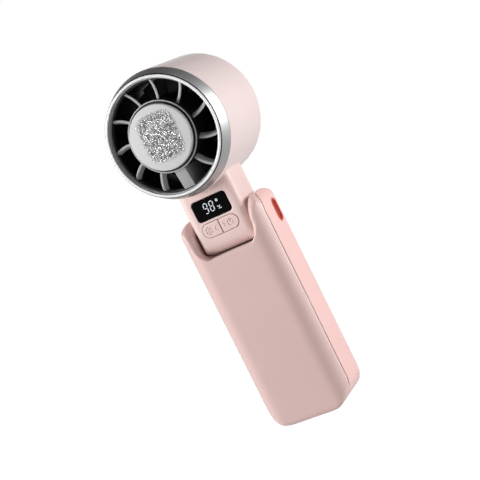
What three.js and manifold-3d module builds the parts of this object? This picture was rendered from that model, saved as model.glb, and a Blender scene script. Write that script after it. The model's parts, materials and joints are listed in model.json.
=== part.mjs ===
// A hand-held folding fan with a chilled plate in its nose. The slim handle
// holds two round cells, a short neck with a display and two buttons hinges
// between the handle's ears, and the round head holds a ducted motor fan.
// Millimetres. +Z runs up the handle to the head, -Y is the front, and the
// origin is the middle of the flat base.
import * as THREE from 'three';
import { mergeVertices } from 'three/addons/utils/BufferGeometryUtils.js';
import Module from 'manifold-3d';

const wasm = await Module();
wasm.setup();

// ---------------------------------------------------------------- sizes ----
// General clearances.
const gap = 0.3;                 // between two pieces that meet
const foldClearance = 0.5;       // between the neck and the notch floor
const earClearance = 0.7;        // between the neck's side and each ear

// Handle.
const handleWidth = 45.4;
const handleDepth = 29.2;
const handleWall = 1.8;
const handleFrontRadius = 9;     // upright corners, seen from above
const handleRearRadius = 6.7;
const baseCornerRadius = 13;     // seen from the front
const baseEdgeRadius = 3;        // seen from the side
const earCornerRadius = 9;       // outer top corner, seen from the front
const earRearRadius = 11;        // the ear's crown towards the back, seen from the side
const earRise = 9.9;             // ear top above the hinge axis
const frontShellDepth = 7.6;     // front face back to the parting line
const partingArc = 10.5;         // the parting line's curve over the ear

// Cells and electronics in the handle.
const cellDiameter = 18.4;
const cellLength = 65.2;
const cellSpacing = 19.4;
const boardThickness = 1.2;
const portWidth = 9;
const portHeight = 3.2;
const portLength = 7.4;
const portY = 6;                 // behind the middle of the base

// Hinge.
const pivotHeight = 100.2;
const shaftRadius = 2;
const sleeveRadius = 3;
const sleeveBore = 2;

// Neck.
const neckWidth = 29.4;
const neckDepth = 21.3;
const neckWall = 1.6;
const neckEdgeRadius = 4;        // upright edges, seen from above
const neckCornerRadius = 4.6;    // lower corners, seen from the front
const neckFootRadius = 6.5;      // lower edges, seen from the side
const neckSeam = 2.5;            // front moulding to rear cover, along Y
const windowMargin = 5.2;        // window edge to the neck's side
const windowHeight = 10.15;
const windowRadius = 1.8;
const windowThickness = 0.8;
const windowRise = 11.4;         // window centre above the hinge axis
const buttonMargin = 4.9;        // button end to the neck's side
const buttonHeight = 6.8;
const buttonProud = 0.25;
const buttonTravel = 0.4;
const buttonRise = 1.5;          // button centre above the hinge axis
const buttonSplit = 0.4;

// Head, measured from its own centre.
const headRise = 50.9;           // head centre above the hinge axis
const drumRadius = 31;
const drumWall = 1.8;
const drumFront = -17.3;
const drumBack = 24.7;
const bezelLength = 6.4;
const bezelRim = 1;               // flat front rim, bore to outer edge
const hubRadius = 17.1;
const hubWall = 0.8;
const hubFront = -23.9;
const plateRadius = 15.5;
const plateFront = -26;
const vaneCount = 11;
const vaneThickness = 1.3;
const vaneDepth = 2.6;           // along the airflow
const wideVane = 5.8;
const impellerRadius = 25.8;
const impellerHubRadius = 14.6;
const bladeCount = 11;
const tipClearance = 0.8;
const ductWall = 1.2;

// Lanyard opening in the right side.
const slotLength = 10.6;
const slotWidth = 4.6;
const slotRim = 0.7;             // wall of the soft liner
const slotRimDepth = 1.8;
const slotY = 6.2;
const slotDrop = 3.8;            // slot centre below the hinge axis

// Screws: shank and head radii, head thickness and the recess that hides it.
const handleScrew = { shank: 1, head: 2, headDepth: 1.4, recess: 2.9 };
const neckScrew = { shank: 0.8, head: 1.5, headDepth: 1, recess: 1.8 };
const postWall = 1.1;

// ------------------------------------------------------- derived sizes ----
const handleFront = -handleDepth / 2;
const handleBack = handleDepth / 2;
const earTop = pivotHeight + earRise;
const neckHalf = neckDepth / 2;
const notchHalf = neckWidth / 2 + earClearance;
const windowWidth = neckWidth - 2 * windowMargin;
const buttonLength = neckWidth - 2 * buttonMargin;   // both buttons together
const notchFloor = pivotHeight - neckHalf - foldClearance;
const footReach = Math.SQRT2 * (neckHalf - neckFootRadius) + neckFootRadius;
const troughRadius = footReach + foldClearance;
const cavityTop = pivotHeight - troughRadius - handleWall;
const partingY = handleFront + frontShellDepth;
const headHeight = pivotHeight + headRise;
const bezelRear = drumFront - gap;
const bezelFront = bezelRear - bezelLength;
const ductRadius = impellerRadius + tipClearance;
const bezelBore = ductRadius + gap;
const bezelFrontRadius = bezelBore + bezelRim;

// -------------------------------------------------------------- helpers ----
const v = (x, y, z) => new THREE.Vector3(x, y, z);

// How a flat outline's two directions and its depth lie in space.
const lay = {
  X: new THREE.Matrix4().makeBasis(v(0, 1, 0), v(0, 0, 1), v(1, 0, 0)),
  Y: new THREE.Matrix4().makeBasis(v(1, 0, 0), v(0, 0, 1), v(0, -1, 0)),
  Z: new THREE.Matrix4(),
};

// A closed solid from a geometry: shared corners merged, slivers dropped and
// faces turned outward.
function solid(geometry) {
  geometry.deleteAttribute('normal');
  geometry.deleteAttribute('uv');
  const merged = mergeVertices(geometry, 1e-4);
  const position = merged.attributes.position;
  const index = merged.index ? merged.index.array : [...Array(position.count).keys()];
  const triangles = [];
  let volume = 0;
  for (let i = 0; i < index.length; i += 3) {
    const [a, b, c] = [index[i], index[i + 1], index[i + 2]];
    if (a === b || b === c || a === c) continue;
    triangles.push(a, b, c);
    const [p, q, r] = [a, b, c].map((k) => new THREE.Vector3().fromBufferAttribute(position, k));
    volume += p.dot(q.cross(r));
  }
  if (volume < 0) triangles.reverse();
  return new wasm.Manifold(new wasm.Mesh({
    numProp: 3,
    vertProperties: new Float32Array(position.array),
    triVerts: new Uint32Array(triangles),
  }));
}

// An outline pushed through space along one axis, between two places on it.
function prism(outline, axis, from, to, curveSegments = 2) {
  const geometry = new THREE.ExtrudeGeometry(outline, {
    depth: to - from, bevelEnabled: false, curveSegments,
  });
  geometry.applyMatrix4(lay[axis]);
  const start = axis === 'Y' ? to : from;
  const shift = { X: [start, 0, 0], Y: [0, start, 0], Z: [0, 0, start] }[axis];
  geometry.translate(...shift);
  return solid(geometry);
}

// A rectangle with its own radius at each corner, counter-clockwise from the
// lower left.
function roundedOutline(left, bottom, right, top, radii) {
  const [lowLeft, lowRight, topRight, topLeft] = radii;
  const outline = new THREE.Shape();
  const corner = (x, y, radius, start) => {
    if (radius > 0) outline.absarc(x, y, radius, start, start + Math.PI / 2, false);
    else outline.lineTo(x, y);
  };
  outline.moveTo(left + lowLeft, bottom);
  outline.lineTo(right - lowRight, bottom);
  corner(right - lowRight, bottom + lowRight, lowRight, -Math.PI / 2);
  corner(right - topRight, top - topRight, topRight, 0);
  corner(left + topLeft, top - topLeft, topLeft, Math.PI / 2);
  corner(left + lowLeft, bottom + lowLeft, lowLeft, Math.PI);
  return outline;
}

// A long hole or bar with round ends.
function stadium(a, b, sizeA, sizeB) {
  const radius = Math.min(sizeA, sizeB) / 2 - 0.01;
  return roundedOutline(a - sizeA / 2, b - sizeB / 2, a + sizeA / 2, b + sizeB / 2,
    [radius, radius, radius, radius]);
}

function box(x0, y0, z0, x1, y1, z1) {
  const geometry = new THREE.BoxGeometry(x1 - x0, y1 - y0, z1 - z0);
  geometry.translate((x0 + x1) / 2, (y0 + y1) / 2, (z0 + z1) / 2);
  return solid(geometry);
}

// A round bar along one axis; the centre gives its two other coordinates.
function rod(axis, radius, from, to, centre = [0, 0], sides = 16) {
  const geometry = new THREE.CylinderGeometry(radius, radius, to - from, sides);
  if (axis === 'X') geometry.rotateZ(-Math.PI / 2);
  if (axis === 'Z') geometry.rotateX(Math.PI / 2);
  const middle = (from + to) / 2;
  const [a, b] = centre;
  const place = { X: [middle, a, b], Y: [a, middle, b], Z: [a, b, middle] }[axis];
  geometry.translate(...place);
  return solid(geometry);
}

// A piece turned about the Y axis from a closed profile of [radius, y].
function turned(profile, segments = 44) {
  const points = profile.map(([radius, y]) => new THREE.Vector2(radius, y));
  return solid(new THREE.LatheGeometry([...points, points[0].clone()], segments));
}

const ring = (outer, inner, front, back, segments = 44) => turned(
  [[inner, front], [outer, front], [outer, back], [inner, back]], segments);

// A wire of round section along a smooth curve.
function wire(points, radius, steps) {
  const section = new THREE.Shape();
  section.absarc(0, 0, radius, 0, 2 * Math.PI, false);
  const extrudePath = new THREE.CatmullRomCurve3(points.map((p) => v(...p)));
  return solid(new THREE.ExtrudeGeometry(section, {
    extrudePath, steps, curveSegments: 4, bevelEnabled: false,
  }));
}

const joined = (solids) => solids.reduce((whole, part) => whole.add(part));
const mirrored = (makeSide) => [-1, 1].map(makeSide);

// A copy turned about the Y axis, as vanes and blades are.
const aboutY = (body, turns) => body.rotate([0, 360 * turns, 0]);

// -------------------------------------------------------------- finishes ----
const finish = (color, roughness, metalness = 0) => new THREE.MeshStandardMaterial(
  { color, roughness, metalness });
const finishes = {
  rosePlastic: finish(0xd9b6b0, 0.45),
  palePlastic: finish(0xecd6d4, 0.45),
  blackPlastic: finish(0x141414, 0.5),
  greyPlastic: finish(0xa3a3a6, 0.4),
  blackGloss: finish(0x0a0a0c, 0.08),
  coralRubber: finish(0xd0645a, 0.6),
  brushedAluminium: finish(0xb9bcc0, 0.32, 1),
  chilledAlloy: finish(0xe4e6ea, 0.3, 1),
  steel: finish(0x9a9da1, 0.35, 1),
  nickel: finish(0xb8b4a8, 0.35, 1),
  copper: finish(0xb06c3c, 0.4, 1),
  magnet: finish(0x3a3a3c, 0.5, 0.6),
  circuitBoard: finish(0x1d4a38, 0.6),
  ceramic: finish(0xf0efe8, 0.5),
  cellWrap: finish(0x3c6fae, 0.5),
  wireRubber: finish(0x8c1f1f, 0.6),
};

const fan = new THREE.Group();
const handle = new THREE.Group();
const neck = new THREE.Group();
const head = new THREE.Group();
neck.position.z = pivotHeight;
head.position.z = headHeight;
fan.add(handle, neck, head);

// Puts a finished solid in a group as one named mesh.
function piece(group, name, body, material) {
  const { vertProperties, triVerts } = body.getMesh();
  const geometry = new THREE.BufferGeometry();
  geometry.setAttribute('position', new THREE.BufferAttribute(Float32Array.from(vertProperties), 3));
  geometry.setIndex([...triVerts]);
  geometry.computeVertexNormals();
  const mesh = new THREE.Mesh(geometry, material);
  mesh.name = name;
  group.add(mesh);
}

// ------------------------------------------------------- handle casing ----
// The handle's block, or its hollow when an inset is given: the overlap of
// its plan, front and side outlines.
function handleBlock(inset, top) {
  const half = handleWidth / 2 - inset;
  const front = handleFront + inset;
  const back = handleBack - inset;
  const plan = roundedOutline(-half, front, half, back, [
    handleFrontRadius - inset, handleFrontRadius - inset,
    handleRearRadius - inset, handleRearRadius - inset]);
  const cornerRadius = baseCornerRadius - inset;
  const face = roundedOutline(-half, inset, half, top, [
    cornerRadius, cornerRadius, earCornerRadius, earCornerRadius]);
  const edge = Math.max(baseEdgeRadius - inset, gap);
  const crown = handleDepth / 2 - inset - 0.01;
  const side = roundedOutline(front, inset, back, top, [edge, edge, earRearRadius, crown]);
  return prism(plan, 'Z', inset - 1, top + 1)
    .intersect(prism(face, 'Y', front - 1, back + 1, 3))
    .intersect(prism(side, 'X', -half - 1, half + 1, 5));
}

// The U-shaped notch between the ears, open at the top, front and back. Its
// floor is hollowed to a round trough that the neck's foot sweeps as it folds.
function notchCut() {
  const lip = neckCornerRadius + earClearance;
  const outline = roundedOutline(-notchHalf, notchFloor, notchHalf, earTop + 5, [lip, lip, 0, 0]);
  return prism(outline, 'Y', handleFront - 5, handleBack + 5, 3)
    .add(rod('X', troughRadius, -notchHalf, notchHalf, [0, pivotHeight], 40));
}

// The room in front of the parting line, or behind it with a gap left.
function partingRegion(behind) {
  const far = behind ? handleDepth : -handleDepth;
  const shift = behind ? gap : 0;
  const springing = earTop - partingArc - gap;
  const outline = new THREE.Shape();
  outline.moveTo(far, -5);
  outline.lineTo(partingY + shift, -5);
  outline.lineTo(partingY + shift, springing);
  outline.absarc(partingY + partingArc, springing, partingArc - shift,
    Math.PI, Math.PI / 2, true);
  outline.lineTo(partingY + partingArc + shift, springing + partingArc - shift);
  outline.lineTo(partingY + partingArc + shift, earTop + 5);
  outline.lineTo(far, earTop + 5);
  return prism(outline, 'X', -handleWidth, handleWidth, 4);
}

const hollow = handleBlock(handleWall, cavityTop + handleDepth)
  .intersect(box(-handleWidth, -handleDepth, 0, handleWidth, handleDepth, cavityTop));

// Hole and head recess of a screw that enters a casing's back.
function screwHole(screw, front, back, [x, z]) {
  return rod('Y', screw.shank + gap, front, back, [x, z], 12)
    .add(rod('Y', screw.head + gap, back - screw.recess, back + 1, [x, z], 14));
}

function screwBody(screw, front, back, [x, z]) {
  const seat = back - screw.recess + gap;
  const slot = box(x - screw.head, seat + screw.headDepth / 2, z - 0.25,
    x + screw.head, seat + 2 * screw.headDepth, z + 0.25);
  const cross = box(x - 0.25, seat + screw.headDepth / 2, z - screw.head,
    x + 0.25, seat + 2 * screw.headDepth, z + screw.head);
  return rod('Y', screw.shank, front, seat + 0.1, [x, z], 12)
    .add(rod('Y', screw.head, seat, seat + screw.headDepth, [x, z], 14))
    .subtract(slot)
    .subtract(cross);
}

// Heights up the inside: port, board, holder, tabs and cells.
const portFoot = 0.5;
const portHead = portFoot + portLength;
const boardTop = portHead + gap + boardThickness;
const holderFoot = boardTop + 1;
const holderWall = 1.2;
const tabThickness = 0.4;
const tabFoot = holderFoot + holderWall + gap;
const cellFoot = tabFoot + tabThickness + gap;
const cellHead = cellFoot + cellLength;

// Posts meet a little in front of the handle's middle: the front half takes
// the thread and the rear half seats the head.
const rearPost = handleScrew.head + gap + 0.8;
const frontPost = handleScrew.shank + gap + postWall;
const postMeet = handleBack - handleWall - 4.4;
const handleInner = handleWidth / 2 - handleWall;
const lowScrews = mirrored((side) => [side * (handleInner - 7.6), handleWall + 3.8]);
const highScrewZ = Math.max(cavityTop - frontPost - gap, cellHead + gap + rearPost);
const highScrews = mirrored((side) => [side * (handleInner - 8.1), highScrewZ]);
const handleScrews = [...lowScrews, ...highScrews];
const screwTip = -2;

const frontPosts = handleScrews.map((place) => rod('Y', frontPost,
  handleFront + handleWall - 0.4, postMeet, place, 12));
const frontPostRoom = joined(handleScrews.map((place) => rod('Y',
  frontPost + gap - 0.01, handleFront, postMeet + gap, place, 12)));
const rearPosts = handleScrews.map((place) => rod('Y', rearPost,
  postMeet + gap, handleBack - handleWall + 0.4, place, 14));
const handleHoles = joined(handleScrews.map((place) => screwHole(
  handleScrew, screwTip - 1, handleBack, place)));

// The hinge's two bores, the wire channel up the left ear and the charging
// port's mouth.
const earOuter = handleWidth / 2 - 2.3;
const channelRadius = 1.8;
const channelX = -(earOuter - channelRadius + 0.3);
const hingeHoles = joined([
  rod('X', shaftRadius + gap, notchHalf - 1, earOuter - 1, [0, pivotHeight]),
  rod('X', sleeveRadius + gap, -earOuter, -notchHalf + 1, [0, pivotHeight]),
  rod('Z', channelRadius, cavityTop - 1, pivotHeight, [channelX, 0], 20),
]);
const portMouth = prism(stadium(0, portY, portWidth + 2 * gap, portHeight + 2 * gap),
  'Z', -1, handleWall + 1);

// Lanyard opening: a slot in the right side that turns out through the back
// and leaves a corner post to loop a strap round.
const slotZ = pivotHeight - slotDrop;
const sideX = handleWidth / 2;
const slotFloor = notchHalf + 1;
const slotPost = sideX - slotRimDepth - 0.4;
const slotHoles = joined([
  prism(stadium(slotY, slotZ, slotWidth, slotLength), 'X', slotFloor, sideX + 1),
  prism(stadium(slotY, slotZ, slotWidth + 2 * (slotRim + gap), slotLength + 2 * (slotRim + gap)),
    'X', sideX - slotRimDepth - gap, sideX + 1),
  box(slotFloor, slotY, slotZ - slotLength / 2 + 1.2,
    slotPost, handleBack + 1, slotZ + slotLength / 2 - 1.2),
]);

const casing = handleBlock(0, earTop).subtract(hollow).subtract(notchCut());
const frontCasing = joined([casing.intersect(partingRegion(false)), ...frontPosts]);
const rearCasing = joined([
  casing.intersect(partingRegion(true)).subtract(frontPostRoom), ...rearPosts]);
piece(handle, 'handle_front_shell',
  frontCasing.subtract(handleHoles), finishes.rosePlastic);
piece(handle, 'handle_rear_shell',
  rearCasing.subtract(handleHoles).subtract(hingeHoles)
    .subtract(slotHoles).subtract(portMouth),
  finishes.palePlastic);
handleScrews.forEach((place, i) => piece(handle, `handle_screw_${i + 1}`,
  screwBody(handleScrew, screwTip, handleBack, place), finishes.steel));
piece(handle, 'lanyard_liner',
  prism(stadium(slotY, slotZ, slotWidth + 2 * slotRim, slotLength + 2 * slotRim),
    'X', sideX - slotRimDepth, sideX - 0.15)
    .subtract(prism(stadium(slotY, slotZ, slotWidth, slotLength),
      'X', sideX - slotRimDepth - 1, sideX + 1)),
  finishes.coralRubber);

// --------------------------------------------------- cells and charging ----
const cellY = 0.6;
const cellRadius = cellDiameter / 2;
const holderBack = cellY + cellRadius + 0.5;
const holderHalf = handleInner - 2.6;
const topTab = cellHead + gap;
const holderHead = topTab + tabThickness + gap + holderWall - 0.2;
const wireRadius = 1.1;
const wireBend = 8.93;           // straight run's end below the roof
const wireCorner = [channelX + 1.3, handleFront + handleWall + 4.3];
const batteryWirePath = [
  [channelX + 7, wireCorner[1] + 0.6, boardTop + wireRadius + gap],
  [channelX + 2.4, wireCorner[1] + 0.1, boardTop + 2.6],
  [...wireCorner, boardTop + 8],
  [...wireCorner, cavityTop - wireBend - 10],
  [...wireCorner, cavityTop - wireBend],
  [channelX + 0.5, wireCorner[1] / 2, cavityTop - 4],
  [channelX, 0, cavityTop],
  [channelX, 0, cavityTop + 5],
  [channelX, 0, pivotHeight - sleeveRadius - wireRadius],
];
piece(handle, 'battery_wires', wire(batteryWirePath, wireRadius, 24), finishes.wireRubber);
// Room that the holder leaves for the screw posts and the wires.
const postRoom = joined(handleScrews.map((place) => rod('Y', frontPost + gap,
  handleFront, postMeet + gap, place, 12).add(rod('Y', rearPost + gap,
  postMeet, handleBack, place, 14))));

mirrored((side) => piece(handle, side < 0 ? 'battery_cell_left' : 'battery_cell_right',
  rod('Z', cellRadius, cellFoot, cellHead, [side * cellSpacing / 2, cellY], 32)
    .add(rod('Z', cellRadius / 3, cellHead - 0.2, cellHead + 0.15,
      [side * cellSpacing / 2, cellY], 16)),
  finishes.cellWrap));
piece(handle, 'battery_holder', joined([
  box(-holderHalf, holderBack, holderFoot, holderHalf, holderBack + 1.2, holderHead),
  box(-holderHalf, cellY - 3.6, holderFoot, holderHalf, holderBack + 0.2, holderFoot + holderWall),
  box(-holderHalf, cellY - 3.6, holderHead - holderWall + 0.2,
    holderHalf, holderBack + 0.2, holderHead),
]).subtract(postRoom).subtract(wire(batteryWirePath, wireRadius + gap, 24)),
finishes.blackPlastic);
piece(handle, 'battery_tab_top', box(-cellSpacing / 2 - 4, cellY - 3, topTab + 0.1,
  cellSpacing / 2 + 4, cellY + 3, topTab + tabThickness), finishes.nickel);
mirrored((side) => piece(handle, side < 0 ? 'battery_tab_left' : 'battery_tab_right',
  box(side * cellSpacing / 2 - 4, cellY - 3, tabFoot,
    side * cellSpacing / 2 + 4, cellY + 3, tabFoot + tabThickness),
  finishes.nickel));
const boardHalf = handleInner - 6.9;
piece(handle, 'charge_board', joined([
  box(-boardHalf, -7.4, boardTop - boardThickness, boardHalf, 7.4, boardTop),
  box(-boardHalf + 3, -2.5, boardTop - 0.1, -boardHalf + 8, 2.5, boardTop + 0.9),
]), finishes.circuitBoard);
piece(handle, 'charging_port',
  prism(stadium(0, portY, portWidth, portHeight), 'Z', portFoot, portHead)
    .subtract(prism(stadium(0, portY, portWidth - 0.8, portHeight - 0.8), 'Z', 0, portHead - 1.2))
    .add(box(-3.2, portY - 0.35, portFoot + 0.7, 3.2, portY + 0.35, portHead - 1)),
  finishes.steel);

// ------------------------------------------------------------------ hinge ----
// The right side is a steel shaft with a friction stack; the left side is a
// hollow sleeve that passes the wires. The neck turns on both.
const bossRadius = sleeveRadius + gap + 1.9;
const neckInner = neckWidth / 2 - neckWall;
const bossFace = neckInner - 2.2;
const washerRadius = 4.4;
const nutOuter = bossFace - 2.5;
piece(neck, 'hinge_shaft', rod('X', shaftRadius, nutOuter - 2.6, earOuter - 1 - gap)
  .subtract(box(nutOuter - 3, -0.3, -3, nutOuter - 2, 0.3, 3)), finishes.steel);
piece(neck, 'hinge_sleeve', rod('X', sleeveRadius, -notchHalf - 1.8, -bossFace - gap)
  .subtract(rod('X', sleeveBore, -earOuter, 0)), finishes.steel);
piece(neck, 'friction_washer', rod('X', washerRadius, bossFace - 1, bossFace - gap)
  .subtract(rod('X', shaftRadius + gap, 0, bossFace)), finishes.blackPlastic);
piece(neck, 'spring_washer', turned([
  [shaftRadius + gap, 0], [shaftRadius + gap + 0.1, -0.5], [washerRadius, -0.1],
  [washerRadius - 0.1, 0.4]], 32)
  .rotate([0, 0, 90]).translate([bossFace - 1.7, 0, 0]), finishes.steel);
piece(neck, 'hinge_nut', rod('X', 4.2, nutOuter - 1.8, nutOuter, [0, 0], 6)
  .subtract(rod('X', shaftRadius + gap, 0, bossFace)), finishes.steel);

// ------------------------------------------------------------------- neck ----
// The neck's block, or its hollow: a slab with a rounded foot, centred on the
// hinge axis.
function neckBlock(inset) {
  const half = neckWidth / 2 - inset;
  const deep = neckHalf - inset;
  const edge = neckEdgeRadius - inset;
  const foot = neckCornerRadius - inset;
  const plan = roundedOutline(-half, -deep, half, deep, [edge, edge, edge, edge]);
  const face = roundedOutline(-half, -deep, half, headRise, [foot, foot, 0, 0]);
  const heel = neckFootRadius - inset;
  const side = roundedOutline(-deep, -deep, deep, headRise, [heel, heel, 0, 0]);
  return prism(plan, 'Z', -deep - 1, headRise)
    .intersect(prism(face, 'Y', -deep - 1, deep + 1))
    .intersect(prism(side, 'X', -half - 1, half + 1, 5));
}

// Shapes that belong to the head, moved into the neck's own frame.
const inNeck = (body) => body.translate([0, 0, headRise]);
const inHead = (body) => body.translate([0, 0, -headRise]);
const neckHollow = neckBlock(neckWall).subtract(inNeck(rod('Y', drumRadius, -40, 40, [0, 0], 44)));
const hingeBosses = mirrored((side) => rod('X', bossRadius,
  side < 0 ? -neckInner - 0.3 : bossFace, side < 0 ? -bossFace : neckInner + 0.3, [0, 0], 20));
const neckScrewX = neckInner - neckScrew.shank - gap - 0.7;
const neckScrews = mirrored((side) => [side * neckScrewX, windowRise + 1.4]);
const neckPosts = neckScrews.flatMap((place) => [
  rod('Y', neckScrew.shank + gap + 0.6, -neckHalf + neckWall - 0.3, neckSeam, place, 10),
  rod('Y', neckScrew.head + gap + 0.8, neckSeam, neckHalf - neckWall + 0.3, place, 12),
]);
const neckHoles = joined([
  rod('X', shaftRadius + gap, 0, neckWidth),
  rod('X', sleeveRadius + gap, -neckWidth, 0),
  ...neckScrews.map((place) => screwHole(neckScrew, -neckHalf + neckWall + 1, neckHalf, place)),
]);
const neckCasing = joined([neckBlock(0).subtract(neckHollow), ...hingeBosses, ...neckPosts])
  .intersect(neckBlock(0)).subtract(neckHoles);

// Openings in the neck's face: the display's seat with a window behind it,
// and the slot that both buttons share.
const windowBack = -neckHalf + windowThickness;
const moduleHalfWidth = windowWidth / 2 - 1.7;
const moduleHalfHeight = windowHeight / 2 - 1.7;
const windowOutline = (grow) => roundedOutline(-windowWidth / 2 - grow,
  windowRise - windowHeight / 2 - grow, windowWidth / 2 + grow,
  windowRise + windowHeight / 2 + grow, Array(4).fill(windowRadius + grow));
const faceOpenings = joined([
  prism(windowOutline(gap), 'Y', -neckHalf - 1, windowBack + gap),
  box(-moduleHalfWidth - gap, -neckHalf, windowRise - moduleHalfHeight - gap,
    moduleHalfWidth + gap, -neckHalf + neckWall + 0.5, windowRise + moduleHalfHeight + gap),
  prism(stadium(0, buttonRise, buttonLength + 2 * gap, buttonHeight + 2 * gap),
    'Y', -neckHalf - 1, -neckHalf + neckWall + 0.5, 3),
]);

// The wires climb from the hinge sleeve, through the drum's wall and the wide
// vane, to the motor.
const wirePassY = -7.2;
const wirePass = rod('Z', wireRadius + 0.4, -drumRadius - 1, -11, [0, wirePassY], 20);
const drumInner = drumRadius - drumWall;
const seamFront = box(-neckWidth, -neckDepth, -neckDepth, neckWidth,
  neckSeam - gap / 2, headRise);
const seamBack = box(-neckWidth, neckSeam + gap / 2, -neckDepth, neckWidth,
  neckDepth, headRise);
const drum = turned([
  [drumInner - 1, drumFront], [drumRadius, drumFront], [drumRadius - 0.25, drumBack - 1.4],
  [drumRadius - 0.6, drumBack - 0.4], [drumRadius - 1.1, drumBack], [drumInner - 1, drumBack],
], 48);
piece(head, 'head_shell',
  inHead(neckCasing.intersect(seamFront).subtract(faceOpenings)).add(drum)
    .subtract(rod('Y', drumInner, drumFront - 1, drumBack + 1, [0, 0], 48))
    .subtract(wirePass),
  finishes.palePlastic);
piece(neck, 'neck_rear_cover',
  neckCasing.intersect(seamBack)
    .subtract(inNeck(rod('Y', drumRadius + gap, -40, 40, [0, 0], 48))),
  finishes.palePlastic);
neckScrews.forEach((place, i) => piece(neck, `neck_screw_${i + 1}`,
  screwBody(neckScrew, -neckHalf + neckWall + 2.5, neckHalf, place), finishes.steel));
piece(neck, 'display_window',
  prism(windowOutline(0), 'Y', -neckHalf, windowBack), finishes.blackGloss);

// Display module, control board and its two switches, back from the face.
const flangeBack = -neckHalf + neckWall + gap + 0.5;
const switchFront = flangeBack + buttonTravel + 0.1;
const switchBack = switchFront + 1.5;
const boardFront = switchBack + gap;
const boardSide = bossFace - 1.7;
piece(neck, 'display_module', box(-moduleHalfWidth, windowBack + gap,
  windowRise - moduleHalfHeight, moduleHalfWidth, boardFront - gap,
  windowRise + moduleHalfHeight), finishes.blackPlastic);
piece(neck, 'control_board', box(-boardSide, boardFront, -6.3, boardSide, boardFront + 1,
  windowRise + moduleHalfHeight), finishes.circuitBoard);
const switchX = buttonLength / 4;
mirrored((side) => piece(neck, side < 0 ? 'cool_switch' : 'power_switch',
  box(side * switchX - 2.5, switchFront + 0.5, buttonRise - 1.7,
    side * switchX + 2.5, switchBack, buttonRise + 1.7)
    .add(rod('Y', 1, switchFront, switchFront + 0.7, [side * switchX, buttonRise], 16)),
  finishes.blackPlastic));

// Two half-stadium keys, each with a flange that holds it behind the face.
mirrored((side) => {
  const inner = side * buttonSplit / 2;
  const half = (grow) => {
    const outer = side * (buttonLength / 2 + grow);
    const round = buttonHeight / 2 + grow - 0.001;
    const low = buttonRise - buttonHeight / 2 - grow;
    const high = buttonRise + buttonHeight / 2 + grow;
    return side < 0
      ? roundedOutline(outer, low, inner, high, [round, 0.3, 0.3, round])
      : roundedOutline(inner, low, outer, high, [0.3, round, round, 0.3]);
  };
  const cap = prism(half(0), 'Y', -neckHalf - buttonProud, flangeBack, 3);
  const flange = prism(half(0.9), 'Y', flangeBack - 0.5, flangeBack);
  piece(neck, side < 0 ? 'cool_button' : 'power_button', cap.add(flange), finishes.palePlastic);
});
piece(neck, 'neck_wires', wire([
  [channelX + 0.4, 0, 0], [-notchHalf, 0, 0], [-bossFace + 1, 0, 0.3],
  [-bossFace + 4, 0.6, 5], [-3.6, 0.4, 11], [-0.4, -2.8, windowRise + moduleHalfHeight + 0.8],
  [0, wirePassY + 0.9, headRise - drumRadius - 1.2], [0, wirePassY, headRise - drumRadius + 2],
  [0, wirePassY, headRise - drumRadius + 10], [0, wirePassY, headRise - 11.4],
], wireRadius, 24), finishes.wireRubber);

// ------------------------------------------------- bezel, duct and grille ----
const spigotOuter = drumInner - gap;
const ductOuter = ductRadius + ductWall;
const spigotInner = ductOuter + gap;
piece(head, 'bezel_ring', turned([
  [bezelBore, bezelFront + 0.6], [bezelBore + 0.4, bezelFront], [bezelFrontRadius, bezelFront],
  [drumRadius, bezelRear], [spigotOuter, bezelRear], [spigotOuter, bezelRear + 3],
  [spigotInner, bezelRear + 3], [spigotInner, bezelRear], [bezelBore, bezelRear],
], 48), finishes.brushedAluminium);
const ductFront = bezelRear + gap;
const rearGrilleFront = drumBack - 4.2;
piece(head, 'duct_liner',
  ring(ductOuter, ductRadius, ductFront, rearGrilleFront - gap, 48).subtract(wirePass),
  finishes.blackPlastic);

// Hub cup and outer ring joined by slanted vanes and by one wide vane that
// hides the wires.
const grilleOuter = bezelBore - gap;
const grilleInner = grilleOuter - 1.3;
const grilleFront = bezelFront + 3.5;
const hubInner = hubRadius - hubWall;
const hubBack = -5.2;
const ledgeFront = hubBack - 4.2;
const ledgeInner = 11.6;
const vaneFront = grilleFront + 0.2;
const vaneSlant = 24;            // degrees out of the airflow
function thinVane() {
  const outline = new THREE.Shape([
    [vaneFront, hubInner + 0.3], [vaneFront, grilleOuter - 0.3],
    [vaneFront + vaneDepth, grilleOuter - 0.3], [vaneFront + vaneDepth, hubInner + 0.3],
  ].map(([y, z]) => new THREE.Vector2(y, z)));
  const middle = vaneFront + vaneDepth / 2;
  return prism(outline, 'X', -vaneThickness / 2, vaneThickness / 2)
    .translate([0, -middle, 0]).rotate([0, 0, vaneSlant]).translate([0, middle, 0]);
}
const wideOutline = new THREE.Shape([
  [hubFront + 0.4, -hubInner - 0.3], [grilleFront + 0.3, -grilleOuter + 0.3],
  [hubBack, -ductRadius + gap], [hubBack, -hubInner - 0.3],
].map(([y, z]) => new THREE.Vector2(y, z)));
const vanes = [...Array(vaneCount - 1).keys()].map(
  (k) => aboutY(thinVane(), 0.5 + (k + 1) / vaneCount));
const baseScrewPlaces = [0, 1, 2].map((k) => {
  const angle = Math.PI / 2 + (2 * Math.PI * k) / 3;
  return [13.6 * Math.cos(angle), 13.6 * Math.sin(angle)];
});
const baseScrewShank = 0.8;
const baseHoles = joined(baseScrewPlaces.map((place) => rod('Y', baseScrewShank + gap,
  ledgeFront - 1, 0, place, 12)));
const grilleBody = joined([
  ring(grilleOuter, grilleInner, grilleFront, bezelRear),
  ...vanes, prism(wideOutline, 'X', -wideVane / 2, wideVane / 2),
]).subtract(rod('Y', hubInner + 0.1, -40, 40, [0, 0], 44));
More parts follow.
